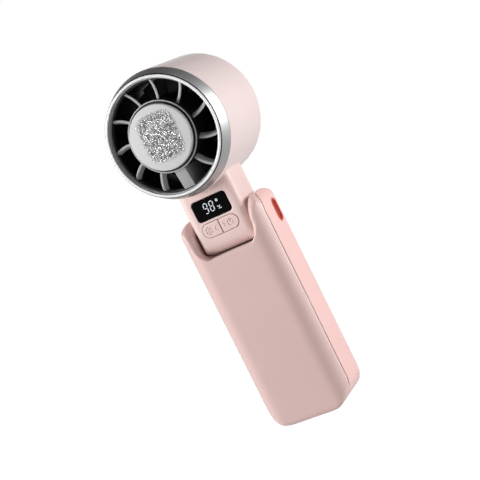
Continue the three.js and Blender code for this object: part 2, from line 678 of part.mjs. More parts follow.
piece(head, 'front_grille', joined([
  grilleBody, ring(hubRadius, hubInner, hubFront, hubBack),
  ring(hubInner + 0.2, ledgeInner, ledgeFront, hubBack, 48),
]).subtract(baseHoles).subtract(wirePass)
  .intersect(rod('Y', grilleOuter, -40, 40, [0, 0], 44)), finishes.greyPlastic);

// ---------------------------------------------------- chilled plate stack ----
piece(head, 'cold_plate', turned([
  [0, plateFront], [plateRadius - 0.5, plateFront], [plateRadius, plateFront + 0.5],
  [plateRadius, hubFront - gap], [0, hubFront - gap],
]), finishes.chilledAlloy);
const coolerHalf = 7.5;
const coolerFront = hubFront;
const coolerBack = coolerFront + 3.2;
const sinkRadius = hubInner - 1.4;
const sinkFront = coolerBack + gap;
const sinkBase = sinkFront + 1.8;
const driverFront = ledgeFront - 2.9;
const finBack = driverFront - gap;
piece(head, 'plate_seal', ring(hubInner - gap, coolerHalf * Math.SQRT2 + 1, hubFront,
  hubFront + 1.4, 48), finishes.blackPlastic);
piece(head, 'cooler_module', box(-coolerHalf, coolerFront, -coolerHalf,
  coolerHalf, coolerBack, coolerHalf), finishes.ceramic);
const finCount = 7;
const finPitch = 3.8;
const fins = [...Array(finCount).keys()].map((k) => {
  const x = (k - (finCount - 1) / 2) * finPitch;
  return box(x - 0.5, sinkBase - 0.2, -sinkRadius, x + 0.5, finBack, sinkRadius);
});
piece(head, 'heat_sink', joined([rod('Y', sinkRadius, sinkFront, sinkBase, [0, 0], 32), ...fins])
  .intersect(rod('Y', sinkRadius, sinkFront, finBack, [0, 0], 32)), finishes.brushedAluminium);
piece(head, 'driver_board', rod('Y', sinkRadius, driverFront, driverFront + 1.1, [0, 0], 32)
  .add(box(-3, driverFront + 1, -2, 3, driverFront + 1.9, 2)), finishes.circuitBoard);

// ------------------------------------------------------------ motor and fan ----
const shaftR = 1;
const bearingOuter = 3;
const tubeBore = bearingOuter + gap;
const tubeOuter = tubeBore + 0.9;
const baseFront = hubBack + gap;
const baseBack = baseFront + 1.6;
const tubeBack = 10.4;
piece(head, 'motor_base', joined([
  rod('Y', hubInner, baseFront, baseBack, [0, 0], 48),
  rod('Y', tubeOuter, baseFront, tubeBack),
]).subtract(rod('Y', tubeBore, baseFront - 1, tubeBack + 1)).subtract(baseHoles),
finishes.blackPlastic);
baseScrewPlaces.forEach((place, i) => piece(head, `motor_screw_${i + 1}`,
  rod('Y', baseScrewShank, hubBack - 3, baseBack + 0.4, place, 12)
    .add(rod('Y', 1.5, baseBack + gap, baseBack + gap + 0.8, place, 16)), finishes.steel));
const bearing = (front) => ring(bearingOuter, shaftR + gap, front, front + 2.3, 20);
piece(head, 'front_bearing', bearing(baseFront + 0.2), finishes.steel);
piece(head, 'rear_bearing', bearing(tubeBack - 2.5), finishes.steel);
const statorInner = tubeOuter + gap;
const statorOuter = 10;
const slotPlaces = [...Array(9).keys()].map((k) => {
  const angle = (2 * Math.PI * k) / 9;
  return [8.2 * Math.cos(angle), 8.2 * Math.sin(angle)];
});
piece(head, 'motor_stator', ring(statorOuter, statorInner, 0, 6.5, 27)
  .subtract(joined(slotPlaces.map((place) => rod('Y', 1.4, -1, 8, place, 10)))),
finishes.copper);

// Everything below turns: magnet, can, shaft and impeller.
const spinFront = baseBack + gap + 0.8 + 0.4;
const magnetInner = statorOuter + 0.6;
const canInner = impellerHubRadius - 2.4;
const canOuter = impellerHubRadius - 1.5;
piece(head, 'magnet_ring', ring(canInner - gap, magnetInner, 0, 7, 36), finishes.magnet);
piece(head, 'rotor_can', turned([
  [canInner, -0.2], [canOuter, -0.2], [canOuter, tubeBack + 1.5], [shaftR + gap, tubeBack + 1.5],
  [shaftR + gap, tubeBack + 0.5], [canInner, tubeBack + 0.5],
], 36), finishes.steel);
const hubRear = tubeBack + 3.4;
piece(head, 'motor_shaft', rod('Y', shaftR, baseFront + 0.2, hubRear - 0.4, [0, 0], 14),
  finishes.steel);

// One blade: a plate whose pitch flattens from root to tip.
const bladeChord = 15;
const bladeThickness = 1.1;
const rootPitch = 46;
const tipPitch = 66;
function blade() {
  const span = impellerRadius - impellerHubRadius + 1.2;
  const geometry = new THREE.BoxGeometry(bladeThickness, bladeChord, span, 1, 1, 3);
  const position = geometry.attributes.position;
  const point = new THREE.Vector3();
  for (let i = 0; i < position.count; i += 1) {
    point.fromBufferAttribute(position, i);
    const along = point.z / span + 0.5;
    const pitch = THREE.MathUtils.degToRad(rootPitch + (tipPitch - rootPitch) * along);
    point.applyAxisAngle(v(0, 0, 1), pitch);
    position.setXYZ(i, point.x, point.y, point.z + impellerHubRadius - 0.6 + span / 2);
  }
  return solid(geometry);
}
const bladeMiddle = (spinFront + hubRear) / 2;
const blades = [...Array(bladeCount).keys()].map(
  (k) => aboutY(blade().translate([0, bladeMiddle, 0]), k / bladeCount));
const impellerHub = turned([
  [canOuter + gap, spinFront], [impellerHubRadius, spinFront],
  [impellerHubRadius, hubRear - 1], [impellerHubRadius - 1, hubRear],
  [shaftR + gap, hubRear], [shaftR + gap, tubeBack + 1.8], [canOuter + gap, tubeBack + 1.8],
], 48);
piece(head, 'impeller', joined([
  impellerHub,
  joined(blades).subtract(rod('Y', canOuter + gap + 0.4, -40, 40, [0, 0], 48))
    .intersect(rod('Y', impellerRadius, spinFront, hubRear, [0, 0], 48)),
]), finishes.blackPlastic);

// ------------------------------------------------------------- rear grille ----
const rearOuter = drumInner - gap;
const ductLap = 0.8;             // how far the rim covers the duct's end
const rearBars = 20;
const barFront = rearGrilleFront + 1.6;
const barBack = drumBack - 0.3;
const capRadius = 8;
const bars = [...Array(rearBars).keys()].map((k) => aboutY(
  box(-0.55, barFront, capRadius - 0.5, 0.55, barBack, rearOuter - 1), k / rearBars));
piece(head, 'rear_grille', joined([
  ring(rearOuter, ductOuter - ductLap, rearGrilleFront, barBack + 0.1, 40),
  ring(18.6, 17.5, barFront, barBack - 0.1, 20),
  rod('Y', capRadius, barFront, barBack + 0.2, [0, 0], 28),
  ...bars,
]), finishes.greyPlastic);

export default fan;
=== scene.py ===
# %% [markdown]
# # A folding hand fan with a chilled nose plate
# The real fan is a slim battery handle, a short neck that folds forward between the handle's two
# ears, and a round metal-rimmed head that blows air past a cold metal plate.
# The packed model already fixes every size, joint and place, so this lesson only makes surfaces:
# soft-touch mouldings, turned metal, a glossy display and a frosted plate.
# %% Load the frame
import json
import math

import bmesh
import bpy
import numpy as np
from mathutils import Matrix, Vector


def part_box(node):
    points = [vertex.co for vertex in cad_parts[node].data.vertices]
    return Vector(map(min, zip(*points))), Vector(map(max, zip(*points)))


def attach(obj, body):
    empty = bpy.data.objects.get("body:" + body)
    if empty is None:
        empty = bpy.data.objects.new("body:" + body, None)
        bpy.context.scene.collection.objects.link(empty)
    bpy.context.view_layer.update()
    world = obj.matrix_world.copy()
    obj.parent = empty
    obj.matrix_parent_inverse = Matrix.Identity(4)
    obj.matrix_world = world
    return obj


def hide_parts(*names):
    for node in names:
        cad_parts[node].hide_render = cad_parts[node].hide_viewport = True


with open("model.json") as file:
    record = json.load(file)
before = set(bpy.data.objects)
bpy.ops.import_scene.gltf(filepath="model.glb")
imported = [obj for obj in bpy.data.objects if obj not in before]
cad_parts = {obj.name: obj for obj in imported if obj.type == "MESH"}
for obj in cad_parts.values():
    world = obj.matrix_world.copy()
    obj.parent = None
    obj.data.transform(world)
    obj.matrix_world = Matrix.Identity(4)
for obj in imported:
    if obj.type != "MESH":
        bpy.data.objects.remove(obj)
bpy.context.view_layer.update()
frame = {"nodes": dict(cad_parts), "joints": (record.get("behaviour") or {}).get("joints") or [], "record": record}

# %% [markdown]
# Sizes come from the packed nodes. Working in millimetres keeps the numbers readable, and one
# factor turns them into Blender's metres at the end.
# %% Read the sizes that everything else follows
MM = 0.001


def box_mm(node):
    low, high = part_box(node)
    return np.array(low) / MM, np.array(high) / MM


front_low, front_high = box_mm("handle_front_shell")
rear_low, rear_high = box_mm("handle_rear_shell")
drum_high = box_mm("head_shell")[1]
bezel_low, bezel_high = box_mm("bezel_ring")
window_low, window_high = box_mm("display_window")
plate_low, plate_high = box_mm("cold_plate")
cover_low, cover_high = box_mm("neck_rear_cover")
liner_low, liner_high = box_mm("lanyard_liner")
grille_low, grille_high = box_mm("front_grille")
duct_low, duct_high = box_mm("duct_liner")
rear_grille_low, rear_grille_high = box_mm("rear_grille")
cool_low, cool_high = box_mm("cool_button")
power_low, power_high = box_mm("power_button")
port_low, port_high = box_mm("charging_port")
fold = next(j for j in frame["joints"] if j["name"] == "neck_fold")
pivot_z = fold["pos_m"][2] / MM
half_width = front_high[0]
handle_front = front_low[1]
handle_back = rear_high[1]
ear_top = front_high[2]
parting_y = rear_low[1]
drum_radius = drum_high[0]
drum_back = drum_high[1]
head_z = drum_high[2] - drum_radius
neck_half = cover_high[0]
neck_deep = cover_high[1]
print(f"handle {2 * half_width:.1f} wide, head {2 * drum_radius:.1f} across,",
      f"pivot at {pivot_z:.1f}")

# %% [markdown]
# ## Camera, floor and light
# A small product is lit like a bottle in a studio: one long soft light on each side, darkness
# near the lens and a weak light from above. The two side lights leave the front corner of the
# handle in shade, and that is what makes its round edge readable.
# %% Place the camera
VIEW_AZIMUTH = math.radians(25.6)
VIEW_ELEVATION = math.radians(6.4)
VIEW_ROLL = math.radians(-26.4)
VIEW_DISTANCE = 600.7
VIEW_CENTRE = (0.64, 90.9)
VIEW_ANGLE = math.radians(21.56)


def turned_camera():
    back = Vector((math.sin(VIEW_AZIMUTH) * math.cos(VIEW_ELEVATION),
                   -math.cos(VIEW_AZIMUTH) * math.cos(VIEW_ELEVATION), math.sin(VIEW_ELEVATION)))
    level = Vector((math.cos(VIEW_AZIMUTH), math.sin(VIEW_AZIMUTH), 0))
    upright = back.cross(level)
    right = level * math.cos(VIEW_ROLL) + upright * math.sin(VIEW_ROLL)
    up = upright * math.cos(VIEW_ROLL) - level * math.sin(VIEW_ROLL)
    aside, height = VIEW_CENTRE
    place = (Vector((0, 0, height)) + back * VIEW_DISTANCE + right * aside) * MM
    matrix = Matrix((right, up, back)).transposed().to_4x4()
    matrix.translation = place
    return matrix


scene = bpy.context.scene
camera = bpy.data.objects.new("camera", bpy.data.cameras.new("camera"))
camera.data.angle = VIEW_ANGLE
camera.data.clip_start = 0.02
camera.matrix_world = turned_camera()
scene.collection.objects.link(camera)
scene.camera = camera
scene.view_settings.view_transform = "Standard"
print("camera", [round(c, 3) for c in camera.location])


# %% Hang the soft lights
def softbox(name, place, aim, width, height, power, tint=(1, 1, 1)):
    data = bpy.data.lights.new(name, "AREA")
    data.shape = "RECTANGLE"
    data.size, data.size_y = width, height
    data.energy = power
    data.color = tint
    light = bpy.data.objects.new(name, data)
    light.location = place
    light.rotation_euler = (Vector(aim) - Vector(place)).to_track_quat("-Z", "Z").to_euler()
    scene.collection.objects.link(light)
    return light


LIGHTS = {
    "left_softbox": ((-0.98, -0.66, 0.45), 0.5, 1.1, 17.5),
    "right_softbox": ((1.00, 0.28, 0.15), 0.5, 1.0, 12.0),
    "top_softbox": ((0.55, -0.10, 1.00), 0.6, 0.5, 1.2),
}
for light_name, (place, width, height, power) in LIGHTS.items():
    softbox(light_name, place, (0, 0, 0.1), width, height, power)
print("lights:", len(LIGHTS))

# %% [markdown]
# The room is white where the lens sees it, and a dim grey gradient where the fan's own surfaces
# mirror it. Bright metal needs something dark to mirror, or it looks like white paper.
# %% Fill the room with dim light


def room_world():
    world = bpy.data.worlds.new("studio")
    world.use_nodes = True
    nodes, links = world.node_tree.nodes, world.node_tree.links
    nodes.clear()
    seen = nodes.new("ShaderNodeBackground")
    seen.inputs["Color"].default_value = (1, 1, 1, 1)
    room = nodes.new("ShaderNodeBackground")
    coords = nodes.new("ShaderNodeTexCoord")
    parts = nodes.new("ShaderNodeSeparateXYZ")
    ramp = nodes.new("ShaderNodeValToRGB")
    ramp.color_ramp.elements[0].color = (0.34, 0.34, 0.34, 1)
    ramp.color_ramp.elements[0].position = 0.10
    ramp.color_ramp.elements[1].color = (0.04, 0.04, 0.04, 1)
    ramp.color_ramp.elements[1].position = 0.75
    path = nodes.new("ShaderNodeLightPath")
    mix = nodes.new("ShaderNodeMixShader")
    out = nodes.new("ShaderNodeOutputWorld")
    links.new(coords.outputs["Generated"], parts.inputs[0])
    links.new(parts.outputs["Z"], ramp.inputs[0])
    links.new(ramp.outputs[0], room.inputs["Color"])
    links.new(path.outputs["Is Camera Ray"], mix.inputs[0])
    links.new(room.outputs[0], mix.inputs[1])
    links.new(seen.outputs[0], mix.inputs[2])
    links.new(mix.outputs[0], out.inputs[0])
    return world


scene.world = room_world()
print("room:", scene.world.name)


# %% Mix the pale floor
FLOOR_FILL = 0.38
print("the floor throws back", FLOOR_FILL, "of white on to the fan")


def floor_material(fill=FLOOR_FILL):
    material = bpy.data.materials.new("pale_floor")
    material.use_nodes = True
    nodes, links = material.node_tree.nodes, material.node_tree.links
    nodes.clear()

    def blend(share, first, second):
        mix = nodes.new("ShaderNodeMixShader")
        if isinstance(share, float):
            mix.inputs[0].default_value = share
        else:
            links.new(share, mix.inputs[0])
        links.new(first, mix.inputs[1])
        links.new(second, mix.inputs[2])
        return mix.outputs[0]

    def shader(kind, color, strength=None):
        made = nodes.new(kind)
        made.inputs["Color"].default_value = (color, color, color, 1)
        if strength is not None:
            made.inputs["Strength"].default_value = strength
        return made.outputs[0]

    paper = shader("ShaderNodeBsdfDiffuse", 0.2)
    seen = blend(0.9, paper, shader("ShaderNodeEmission", 1.0, 1.12))
    felt = blend(0.5, paper, shader("ShaderNodeEmission", 1.0, 2 * fill))
    path = nodes.new("ShaderNodeLightPath").outputs["Is Camera Ray"]
    out = nodes.new("ShaderNodeOutputMaterial")
    links.new(blend(path, felt, seen), out.inputs[0])
    return material


# %% Spread the floor


def pale_floor(reach=6.0, drop=0.0006):
    mesh = bpy.data.meshes.new("floor")
    corners = [(-reach, -reach, -drop), (reach, -reach, -drop), (reach, reach, -drop),
               (-reach, reach, -drop)]
    mesh.from_pydata(corners, [], [(0, 1, 2, 3)])
    mesh.materials.append(floor_material())
    floor = bpy.data.objects.new("floor", mesh)
    scene.collection.objects.link(floor)
    return floor


print("floor:", round(pale_floor().dimensions.x), "m across")

# %% [markdown]
# ## Finishes
# Each finish is a small node tree on Blender's Principled shader. Colours are given the way a
# paint shop does, as the sRGB value that the eye sees, and turned into linear light once.
# Grain sizes are in millimetres and read from object coordinates, so nothing is wrapped on.
# %% Helpers for finishes


def paint(red, green, blue):
    """An sRGB colour, 0 to 255, as linear light."""
    channels = []
    for value in (red, green, blue):
        share = value / 255
        channels.append(share / 12.92 if share <= 0.04045 else ((share + 0.055) / 1.055) ** 2.4)
    return (*channels, 1.0)


print("mid grey as linear light:", round(paint(128, 128, 128)[0], 3))

# %% [markdown]
# A finish is one Principled shader with its grain, tint and bump nodes. Keeping it in a small
# class means that each material below is only a few lines of numbers.
# %% A finish and its shader


class Finish:
    """One material and short ways to wire its nodes."""

    def __init__(self, name, color, roughness, metallic=0.0, **sockets):
        self.material = bpy.data.materials.new(name)
        self.material.use_nodes = True
        self.tree = self.material.node_tree
        self.shader = self.tree.nodes["Principled BSDF"]
        self.shader.inputs["Base Color"].default_value = color
        self.shader.inputs["Roughness"].default_value = roughness
        self.shader.inputs["Metallic"].default_value = metallic
        for socket, value in sockets.items():
            self.shader.inputs[socket.replace("_", " ")].default_value = value
        self.color = color

    def node(self, kind, **values):
        made = self.tree.nodes.new(kind)
        for key, value in values.items():
            socket = key.replace("_", " ")
            if socket in made.inputs:
                made.inputs[socket].default_value = value
            else:
                setattr(made, key, value)
        return made

    def link(self, a, b):
        self.tree.links.new(a, b)

    def place(self):
        return self.node("ShaderNodeTexCoord").outputs["Object"]

    def noise(self, grain_mm, detail=2.0, at=None):
        made = self.node("ShaderNodeTexNoise", Scale=1 / (grain_mm * MM), Detail=detail)
        self.link(at or self.place(), made.inputs["Vector"])
        return made.outputs["Fac"]

    def spread(self, value, low, high):
        made = self.node("ShaderNodeMapRange", From_Min=0.3, From_Max=0.7, To_Min=low, To_Max=high)
        self.link(value, made.inputs["Value"])
        return made.outputs["Result"]

    def tint(self, value, low, high):
        """Lets the colour wander between two shares of itself."""
        made = self.node("ShaderNodeMix", data_type="RGBA")
        made.inputs["A"].default_value = (*[c * low for c in self.color[:3]], 1)
        made.inputs["B"].default_value = (*[min(c * high, 1) for c in self.color[:3]], 1)
        self.link(value, made.inputs["Factor"])
        self.link(made.outputs["Result"], self.shader.inputs["Base Color"])

    def rough(self, value, low, high):
        self.link(self.spread(value, low, high), self.shader.inputs["Roughness"])

    def bump(self, value, height_mm, strength=1.0):
        made = self.node("ShaderNodeBump", Strength=strength, Distance=height_mm * MM)
        self.link(value, made.inputs["Height"])
        self.link(made.outputs["Normal"], self.shader.inputs["Normal"])


print("a finish can:", [name for name in vars(Finish) if not name.startswith("_")])

# %% [markdown]
# **Soft-touch plastic.** The casing is ABS with a rubbery lacquer. Up close it has a very fine
# orange-peel grain, and its shine is broad and milky, which a little sheen gives.
# %% Mix the soft-touch pinks


def soft_touch(name, color, roughness=0.38, sheen=0.35):
    finish = Finish(name, color, roughness, Sheen_Weight=sheen, Sheen_Roughness=0.45,
                    Specular_IOR_Level=0.45)
    cloud = finish.noise(18.0)
    grain = finish.noise(0.22, detail=3.0)
    finish.tint(cloud, 0.97, 1.03)
    finish.rough(grain, roughness - 0.04, roughness + 0.06)
    finish.bump(grain, 0.012, 0.5)
    return finish.material


rose = soft_touch("rose_soft_touch", paint(223, 190, 185))
blush = soft_touch("blush_soft_touch", paint(246, 203, 198))
shell_pink = soft_touch("shell_soft_touch", paint(235, 207, 202))
# Paler and greyer than shell pink although drum and neck are one moulding: painted sheen.
drum_pink_painted_sheen = soft_touch("drum_painted_sheen_soft_touch", paint(238, 219, 217))
print("pinks mixed")

# %% [markdown]
# **Coral liner.** A soft rubber grommet with a dull, slightly dusty skin.
# %% Mix the coral rubber


def coral_rubber():
    finish = Finish("coral_rubber", paint(232, 116, 100), 0.55, Sheen_Weight=0.2)
    dust = finish.noise(0.6, detail=4.0)
    finish.tint(dust, 0.85, 1.08)
    finish.bump(dust, 0.02, 0.4)
    return finish.material


coral = coral_rubber()
print("rubber mixed:", coral.name)

# %% [markdown]
# **Turned aluminium.** A lathe leaves fine rings round its axis. The noise is read from the
# distance to the axis and the place along it, so its streaks run round the part as tool marks do.
# %% Cut the turned metals


def turned_metal(name, color, roughness, ring_mm, depth_mm, lightness=(0.92, 1.06)):
    finish = Finish(name, color, roughness, 1.0)
    parts = finish.node("ShaderNodeSeparateXYZ")
    finish.link(finish.place(), parts.inputs[0])
    lift = finish.node("ShaderNodeMath", operation="SUBTRACT")
    lift.inputs[1].default_value = head_z * MM
    finish.link(parts.outputs["Z"], lift.inputs[0])
    flat = finish.node("ShaderNodeCombineXYZ")
    finish.link(parts.outputs["X"], flat.inputs["X"])
    finish.link(lift.outputs[0], flat.inputs["Y"])
    reach = finish.node("ShaderNodeVectorMath", operation="LENGTH")
    finish.link(flat.outputs[0], reach.inputs[0])
    lathe = finish.node("ShaderNodeCombineXYZ")
    finish.link(reach.outputs["Value"], lathe.inputs["X"])
    finish.link(parts.outputs["Y"], lathe.inputs["Y"])
    rings = finish.noise(ring_mm, detail=3.0, at=lathe.outputs[0])
    finish.tint(rings, *lightness)
    finish.rough(rings, roughness - 0.05, roughness + 0.08)
    finish.bump(rings, depth_mm, 0.35)
    return finish.material


bezel_metal = turned_metal("brushed_aluminium", paint(214, 215, 216), 0.40, 0.16, 0.002)
print("metal cut:", bezel_metal.name)

# %% [markdown]
# **Everything else.** Dark ducts, grey vanes, glass and small hardware share one simple recipe:
# a colour that wanders a little, and a fine grain.
# %% Mix the plain finishes


def plain(name, color, roughness, metallic=0.0, grain_mm=0.3, grain_depth=0.01, **sockets):
    finish = Finish(name, color, roughness, metallic, **sockets)
    grain = finish.noise(grain_mm, detail=3.0)
    finish.tint(grain, 0.9, 1.08)
    finish.rough(grain, roughness - 0.04, roughness + 0.06)
    finish.bump(grain, grain_depth, 0.4)
    return finish.material


# Paler than the rose shell: a painted highlight along the front shell's edge bead, on a glossy coat.
polished_rose_painted_highlight = plain("polished_rose_painted_highlight", paint(250, 232, 227), 0.22, Coat_Weight=0.6)
# Dark brownish rose: painted shade for the gap line between the two handle shells.
tongue_painted_shade_rose = plain("tongue_painted_shade_rose", paint(150, 100, 92), 0.5)
duct_black = plain("duct_black", paint(24, 24, 25), 0.38)
vane_grey = plain("vane_grey", paint(176, 176, 178), 0.36)
smoked_glass = plain("smoked_glass", paint(3, 3, 4), 0.06, grain_depth=0.0,
                     Specular_IOR_Level=0.1)
# Near-white and not metallic: a painted highlight standing in for the polished rim's reflection.
rim_painted_highlight = plain("painted_highlight_rim", paint(253, 253, 253), 0.25, 0.0, Coat_Weight=1.0)
bright_steel = plain("bright_steel", paint(190, 192, 195), 0.28, 1.0)
water = plain("frozen_droplets", paint(232, 233, 236), 0.10, 0.9, 0.5, 0.0)


def glow(name, color, strength):
    finish = Finish(name, (*[c * 0.6 for c in color[:3]], 1), 0.4)
    finish.shader.inputs["Emission Color"].default_value = color
    finish.shader.inputs["Emission Strength"].default_value = strength
    flicker = finish.noise(0.4)
    finish.tint(flicker, 0.9, 1.0)
    return finish.material


digit_glow = glow("display_glow", paint(220, 224, 232), 0.6)
dot_glow = glow("display_dot", paint(168, 196, 186), 0.55)
print("finishes so far:", len(bpy.data.materials))

# %% [markdown]
# **Cold plate.** Satin alloy with a rounded square of frost in its middle. The frost's outline is
# a soft superellipse, and its grains are Voronoi cells of random brightness with dark seams.
# %% Chill the plate


def frosted_alloy(centre=(0.4, 151.6), half=(10.3, 11.7), grain_mm=0.62):
    finish = Finish("chilled_alloy", paint(208, 208, 209), 0.55, 0.1)

    def math_node(operation, first, second=None):
        made = finish.node("ShaderNodeMath", operation=operation)
        for socket, value in enumerate((first, second)):
            if isinstance(value, (int, float)):
                made.inputs[socket].default_value = value
            elif value is not None:
                finish.link(value, made.inputs[socket])
        return made.outputs[0]

    place = finish.place()
    parts = finish.node("ShaderNodeSeparateXYZ")
    finish.link(place, parts.inputs[0])
    reach = []
    for axis, middle, size in (("X", centre[0], half[0]), ("Z", centre[1], half[1])):
        shift = math_node("SUBTRACT", parts.outputs[axis], middle * MM)
        reach.append(math_node("POWER", math_node("ABSOLUTE", math_node(
            "DIVIDE", shift, size * MM)), 4.0))
    outline = math_node("ADD", *reach)
    ragged = math_node("ADD", outline, math_node("MULTIPLY", finish.noise(1.6, at=place), 0.6))
    mask = finish.node("ShaderNodeMapRange", From_Min=0.75, From_Max=1.35, To_Min=1.0, To_Max=0.0)
    finish.link(ragged, mask.inputs["Value"])
    cells = finish.node("ShaderNodeTexVoronoi", Scale=1 / (grain_mm * MM))
    finish.link(place, cells.inputs["Vector"])
    random = finish.node("ShaderNodeSeparateColor")
    finish.link(cells.outputs["Color"], random.inputs[0])
    seams = math_node("MULTIPLY", cells.outputs["Distance"], 1.1)
    light = math_node("SUBTRACT", math_node("ADD", random.outputs["Red"], 0.35), seams)
    ramp = finish.node("ShaderNodeValToRGB")
    for element, (spot, shade) in zip(ramp.color_ramp.elements, ((0.05, 0.10), (0.95, 0.72))):
        element.position, element.color = spot, (shade, shade, shade, 1)
    finish.link(light, ramp.inputs[0])
    mix = finish.node("ShaderNodeMix", data_type="RGBA")
    finish.link(mask.outputs[0], mix.inputs["Factor"])
    mix.inputs["A"].default_value = finish.color
    finish.link(ramp.outputs[0], mix.inputs["B"])
    finish.link(mix.outputs["Result"], finish.shader.inputs["Base Color"])
    finish.bump(math_node("MULTIPLY", seams, mask.outputs[0]), 0.25, 0.8)
    return finish.material


chilled = frosted_alloy()
print("frost mixed into", chilled.name)

# %% [markdown]
# The inner parts stay as the packed model made them. Each takes the finish of its own material
# slot, so an opened or see-through view still reads as cells, boards, copper and steel.
# %% Dress the carried-over parts
SLOT_FINISH = {
    "rose_plastic": rose,
    "pale_plastic": blush,
    "black_plastic": duct_black,
    "grey_plastic": vane_grey,
    "display_black": smoked_glass,
    "coral_rubber": coral,
    "brushed_aluminium": bezel_metal,
    "chilled_alloy": chilled,
    "steel": bright_steel,
    "nickel": plain("nickel_strip", paint(200, 196, 184), 0.3, 1.0),
    "copper": plain("wound_copper", paint(184, 112, 66), 0.35, 1.0, 0.5, 0.05),
    "magnet": plain("sintered_magnet", paint(70, 70, 73), 0.5, 0.7),
    "circuit_board": plain("solder_mask", paint(28, 84, 60), 0.4, 0.0, 1.0, 0.02),
    "white_ceramic": plain("white_ceramic", paint(236, 234, 226), 0.45),
    "cell_wrap": plain("cell_wrap", paint(58, 108, 168), 0.32),
    "wire_rubber": plain("wire_rubber", paint(150, 32, 30), 0.5),
}
slot_of = {row["node"]: row["material_slot"] for row in frame["record"]["subparts"]}
for node_name, node in frame["nodes"].items():
    node.data.materials.clear()
    node.data.materials.append(SLOT_FINISH[slot_of[node_name]])
print("dressed", len(frame["nodes"]), "nodes in", len(SLOT_FINISH), "finishes")

# %% [markdown]
# ## Three ways to make a surface
# 1. **Skinned shapes** for mouldings. A shape is a function that says how far a point is outside
#    it. Shapes are cut and joined with round edges by simple arithmetic, then a skin is drawn
#    over the result. Box modelling could do this too, but every fillet would be handwork.
# 2. **Turned profiles** for everything round the head's axis.
# 3. **Plates** with softened edges for keys and marks.
# %% Signed-distance shapes


def plate(a, b, low, high, radii):
    """Distance to a rectangle with its own corner radii, counter-clockwise from the lower left."""
    mid_a, mid_b = (low[0] + high[0]) / 2, (low[1] + high[1]) / 2
    side_a, side_b = a - mid_a, b - mid_b
    radius = np.where(side_a < 0, np.where(side_b < 0, radii[0], radii[3]),
                      np.where(side_b < 0, radii[1], radii[2]))
    over_a = np.abs(side_a) - (high[0] - low[0]) / 2 + radius
    over_b = np.abs(side_b) - (high[1] - low[1]) / 2 + radius
    return (np.minimum(np.maximum(over_a, over_b), 0)
            + np.hypot(np.maximum(over_a, 0), np.maximum(over_b, 0)) - radius)


def both(a, b, radius=0.0):
    """The overlap of two shapes, with its edge rounded."""
    if np.ndim(radius) == 0 and radius == 0:
        return np.maximum(a, b)
    return (np.minimum(np.maximum(a, b), -radius)
            + np.hypot(np.maximum(a + radius, 0), np.maximum(b + radius, 0)))


def cut(a, b, radius=0.0):
    """Shape a with shape b taken away."""
    return both(a, -b, radius)


def either(a, b, radius=0.0):
    """Two shapes joined, with the corner between them filled."""
    return -both(-a, -b, radius)


corner_gap = plate(2.0, 2.0, (-1, -1), (1, 1), [0.5] * 4)
print("a point 1 mm out from both sides of a soft square is", round(float(corner_gap), 2), "away")

# %% Measuring helpers


def slab(value, low, high):
    return np.abs(value - (low + high) / 2) - (high - low) / 2


def ease(value, low, high):
    share = np.clip((value - low) / (high - low), 0, 1)
    return share * share * (3 - 2 * share)


def rows(*stretches):
    """Sampling places along one axis: (from, to, step) stretches joined end to end."""
    places = []
    for low, high, step in stretches:
        count = max(1, round((high - low) / step))
        places.extend(np.linspace(low, high, count, endpoint=False))
    return np.array([*places, stretches[-1][1]])


print("two stretches:", rows((0, 1, 0.5), (1, 3, 1)).tolist())

# %% [markdown]
# The skin is a *surface net*: every cell of a grid that the surface passes through gets one
# vertex, and each grid edge that it crosses joins four of them into a quad. The vertices are
# then slid along the slope until they lie exactly on the shape, which also gives true normals.
# %% Skin a shape


def new_piece(name, vertices_mm, faces, material, sharp=None):
    mesh = bpy.data.meshes.new(name)
    mesh.from_pydata((np.asarray(vertices_mm, float) * MM).tolist(), [], faces)
    mesh.validate()
    mesh.polygons.foreach_set("use_smooth", [True] * len(mesh.polygons))
    if sharp is not None:
        mesh.set_sharp_from_angle(angle=math.radians(sharp))
    mesh.materials.append(material)
    piece = bpy.data.objects.new(name, mesh)
    scene.collection.objects.link(piece)
    return piece


def slope(shape, points, step=0.02):
    gradient = np.empty_like(points)
    for axis in range(3):
        shift = np.zeros(3)
        shift[axis] = step
        ahead, behind = points + shift, points - shift
        gradient[:, axis] = (shape(*ahead.T) - shape(*behind.T)) / (2 * step)
    return gradient


uphill = slope(lambda x, y, z: slab(x, -1, 1), np.array([[2.0, 0.0, 0.0]]))
print("out of a slab the slope points", uphill[0].round(3).tolist())

# %% [markdown]
# First, where does the surface cross the grid? Each cell that it passes through gets the middle
# of its crossings as a rough vertex.
# %% Find where the surface crosses the grid


def crossings_along(axis, field, grid):
    """Which grid edges along an axis are crossed, which start inside, and where they cross."""
    here, there = [slice(None)] * 3, [slice(None)] * 3
    here[axis], there[axis] = slice(None, -1), slice(1, None)
    here, there = tuple(here), tuple(there)
    inside = field < 0
    crossed = inside[here] ^ inside[there]
    gap = field[here] - field[there]
    share = np.where(crossed, field[here] / np.where(gap == 0, 1, gap), 0)
    point = np.stack([g[here] + share * (g[there] - g[here]) for g in grid], -1)
    return crossed, inside[here], point


def cell_points(field, edges):
    """The middle of the crossings round each cell, and a number for each such cell."""
    cells = tuple(n - 1 for n in field.shape)
    total, count = np.zeros((*cells, 3)), np.zeros(cells)
    for axis, (crossed, _, point) in enumerate(edges):
        others = [a for a in range(3) if a != axis]
        for first in (slice(None, -1), slice(1, None)):
            for second in (slice(None, -1), slice(1, None)):
                pick = [slice(None)] * 3
                pick[others[0]], pick[others[1]] = first, second
                pick = tuple(pick)
                count += crossed[pick]
                total += point[pick] * crossed[pick][..., None]
    active = count > 0
    number = np.full(cells, -1)
    number[active] = np.arange(active.sum())
    return total[active] / count[active][:, None], number


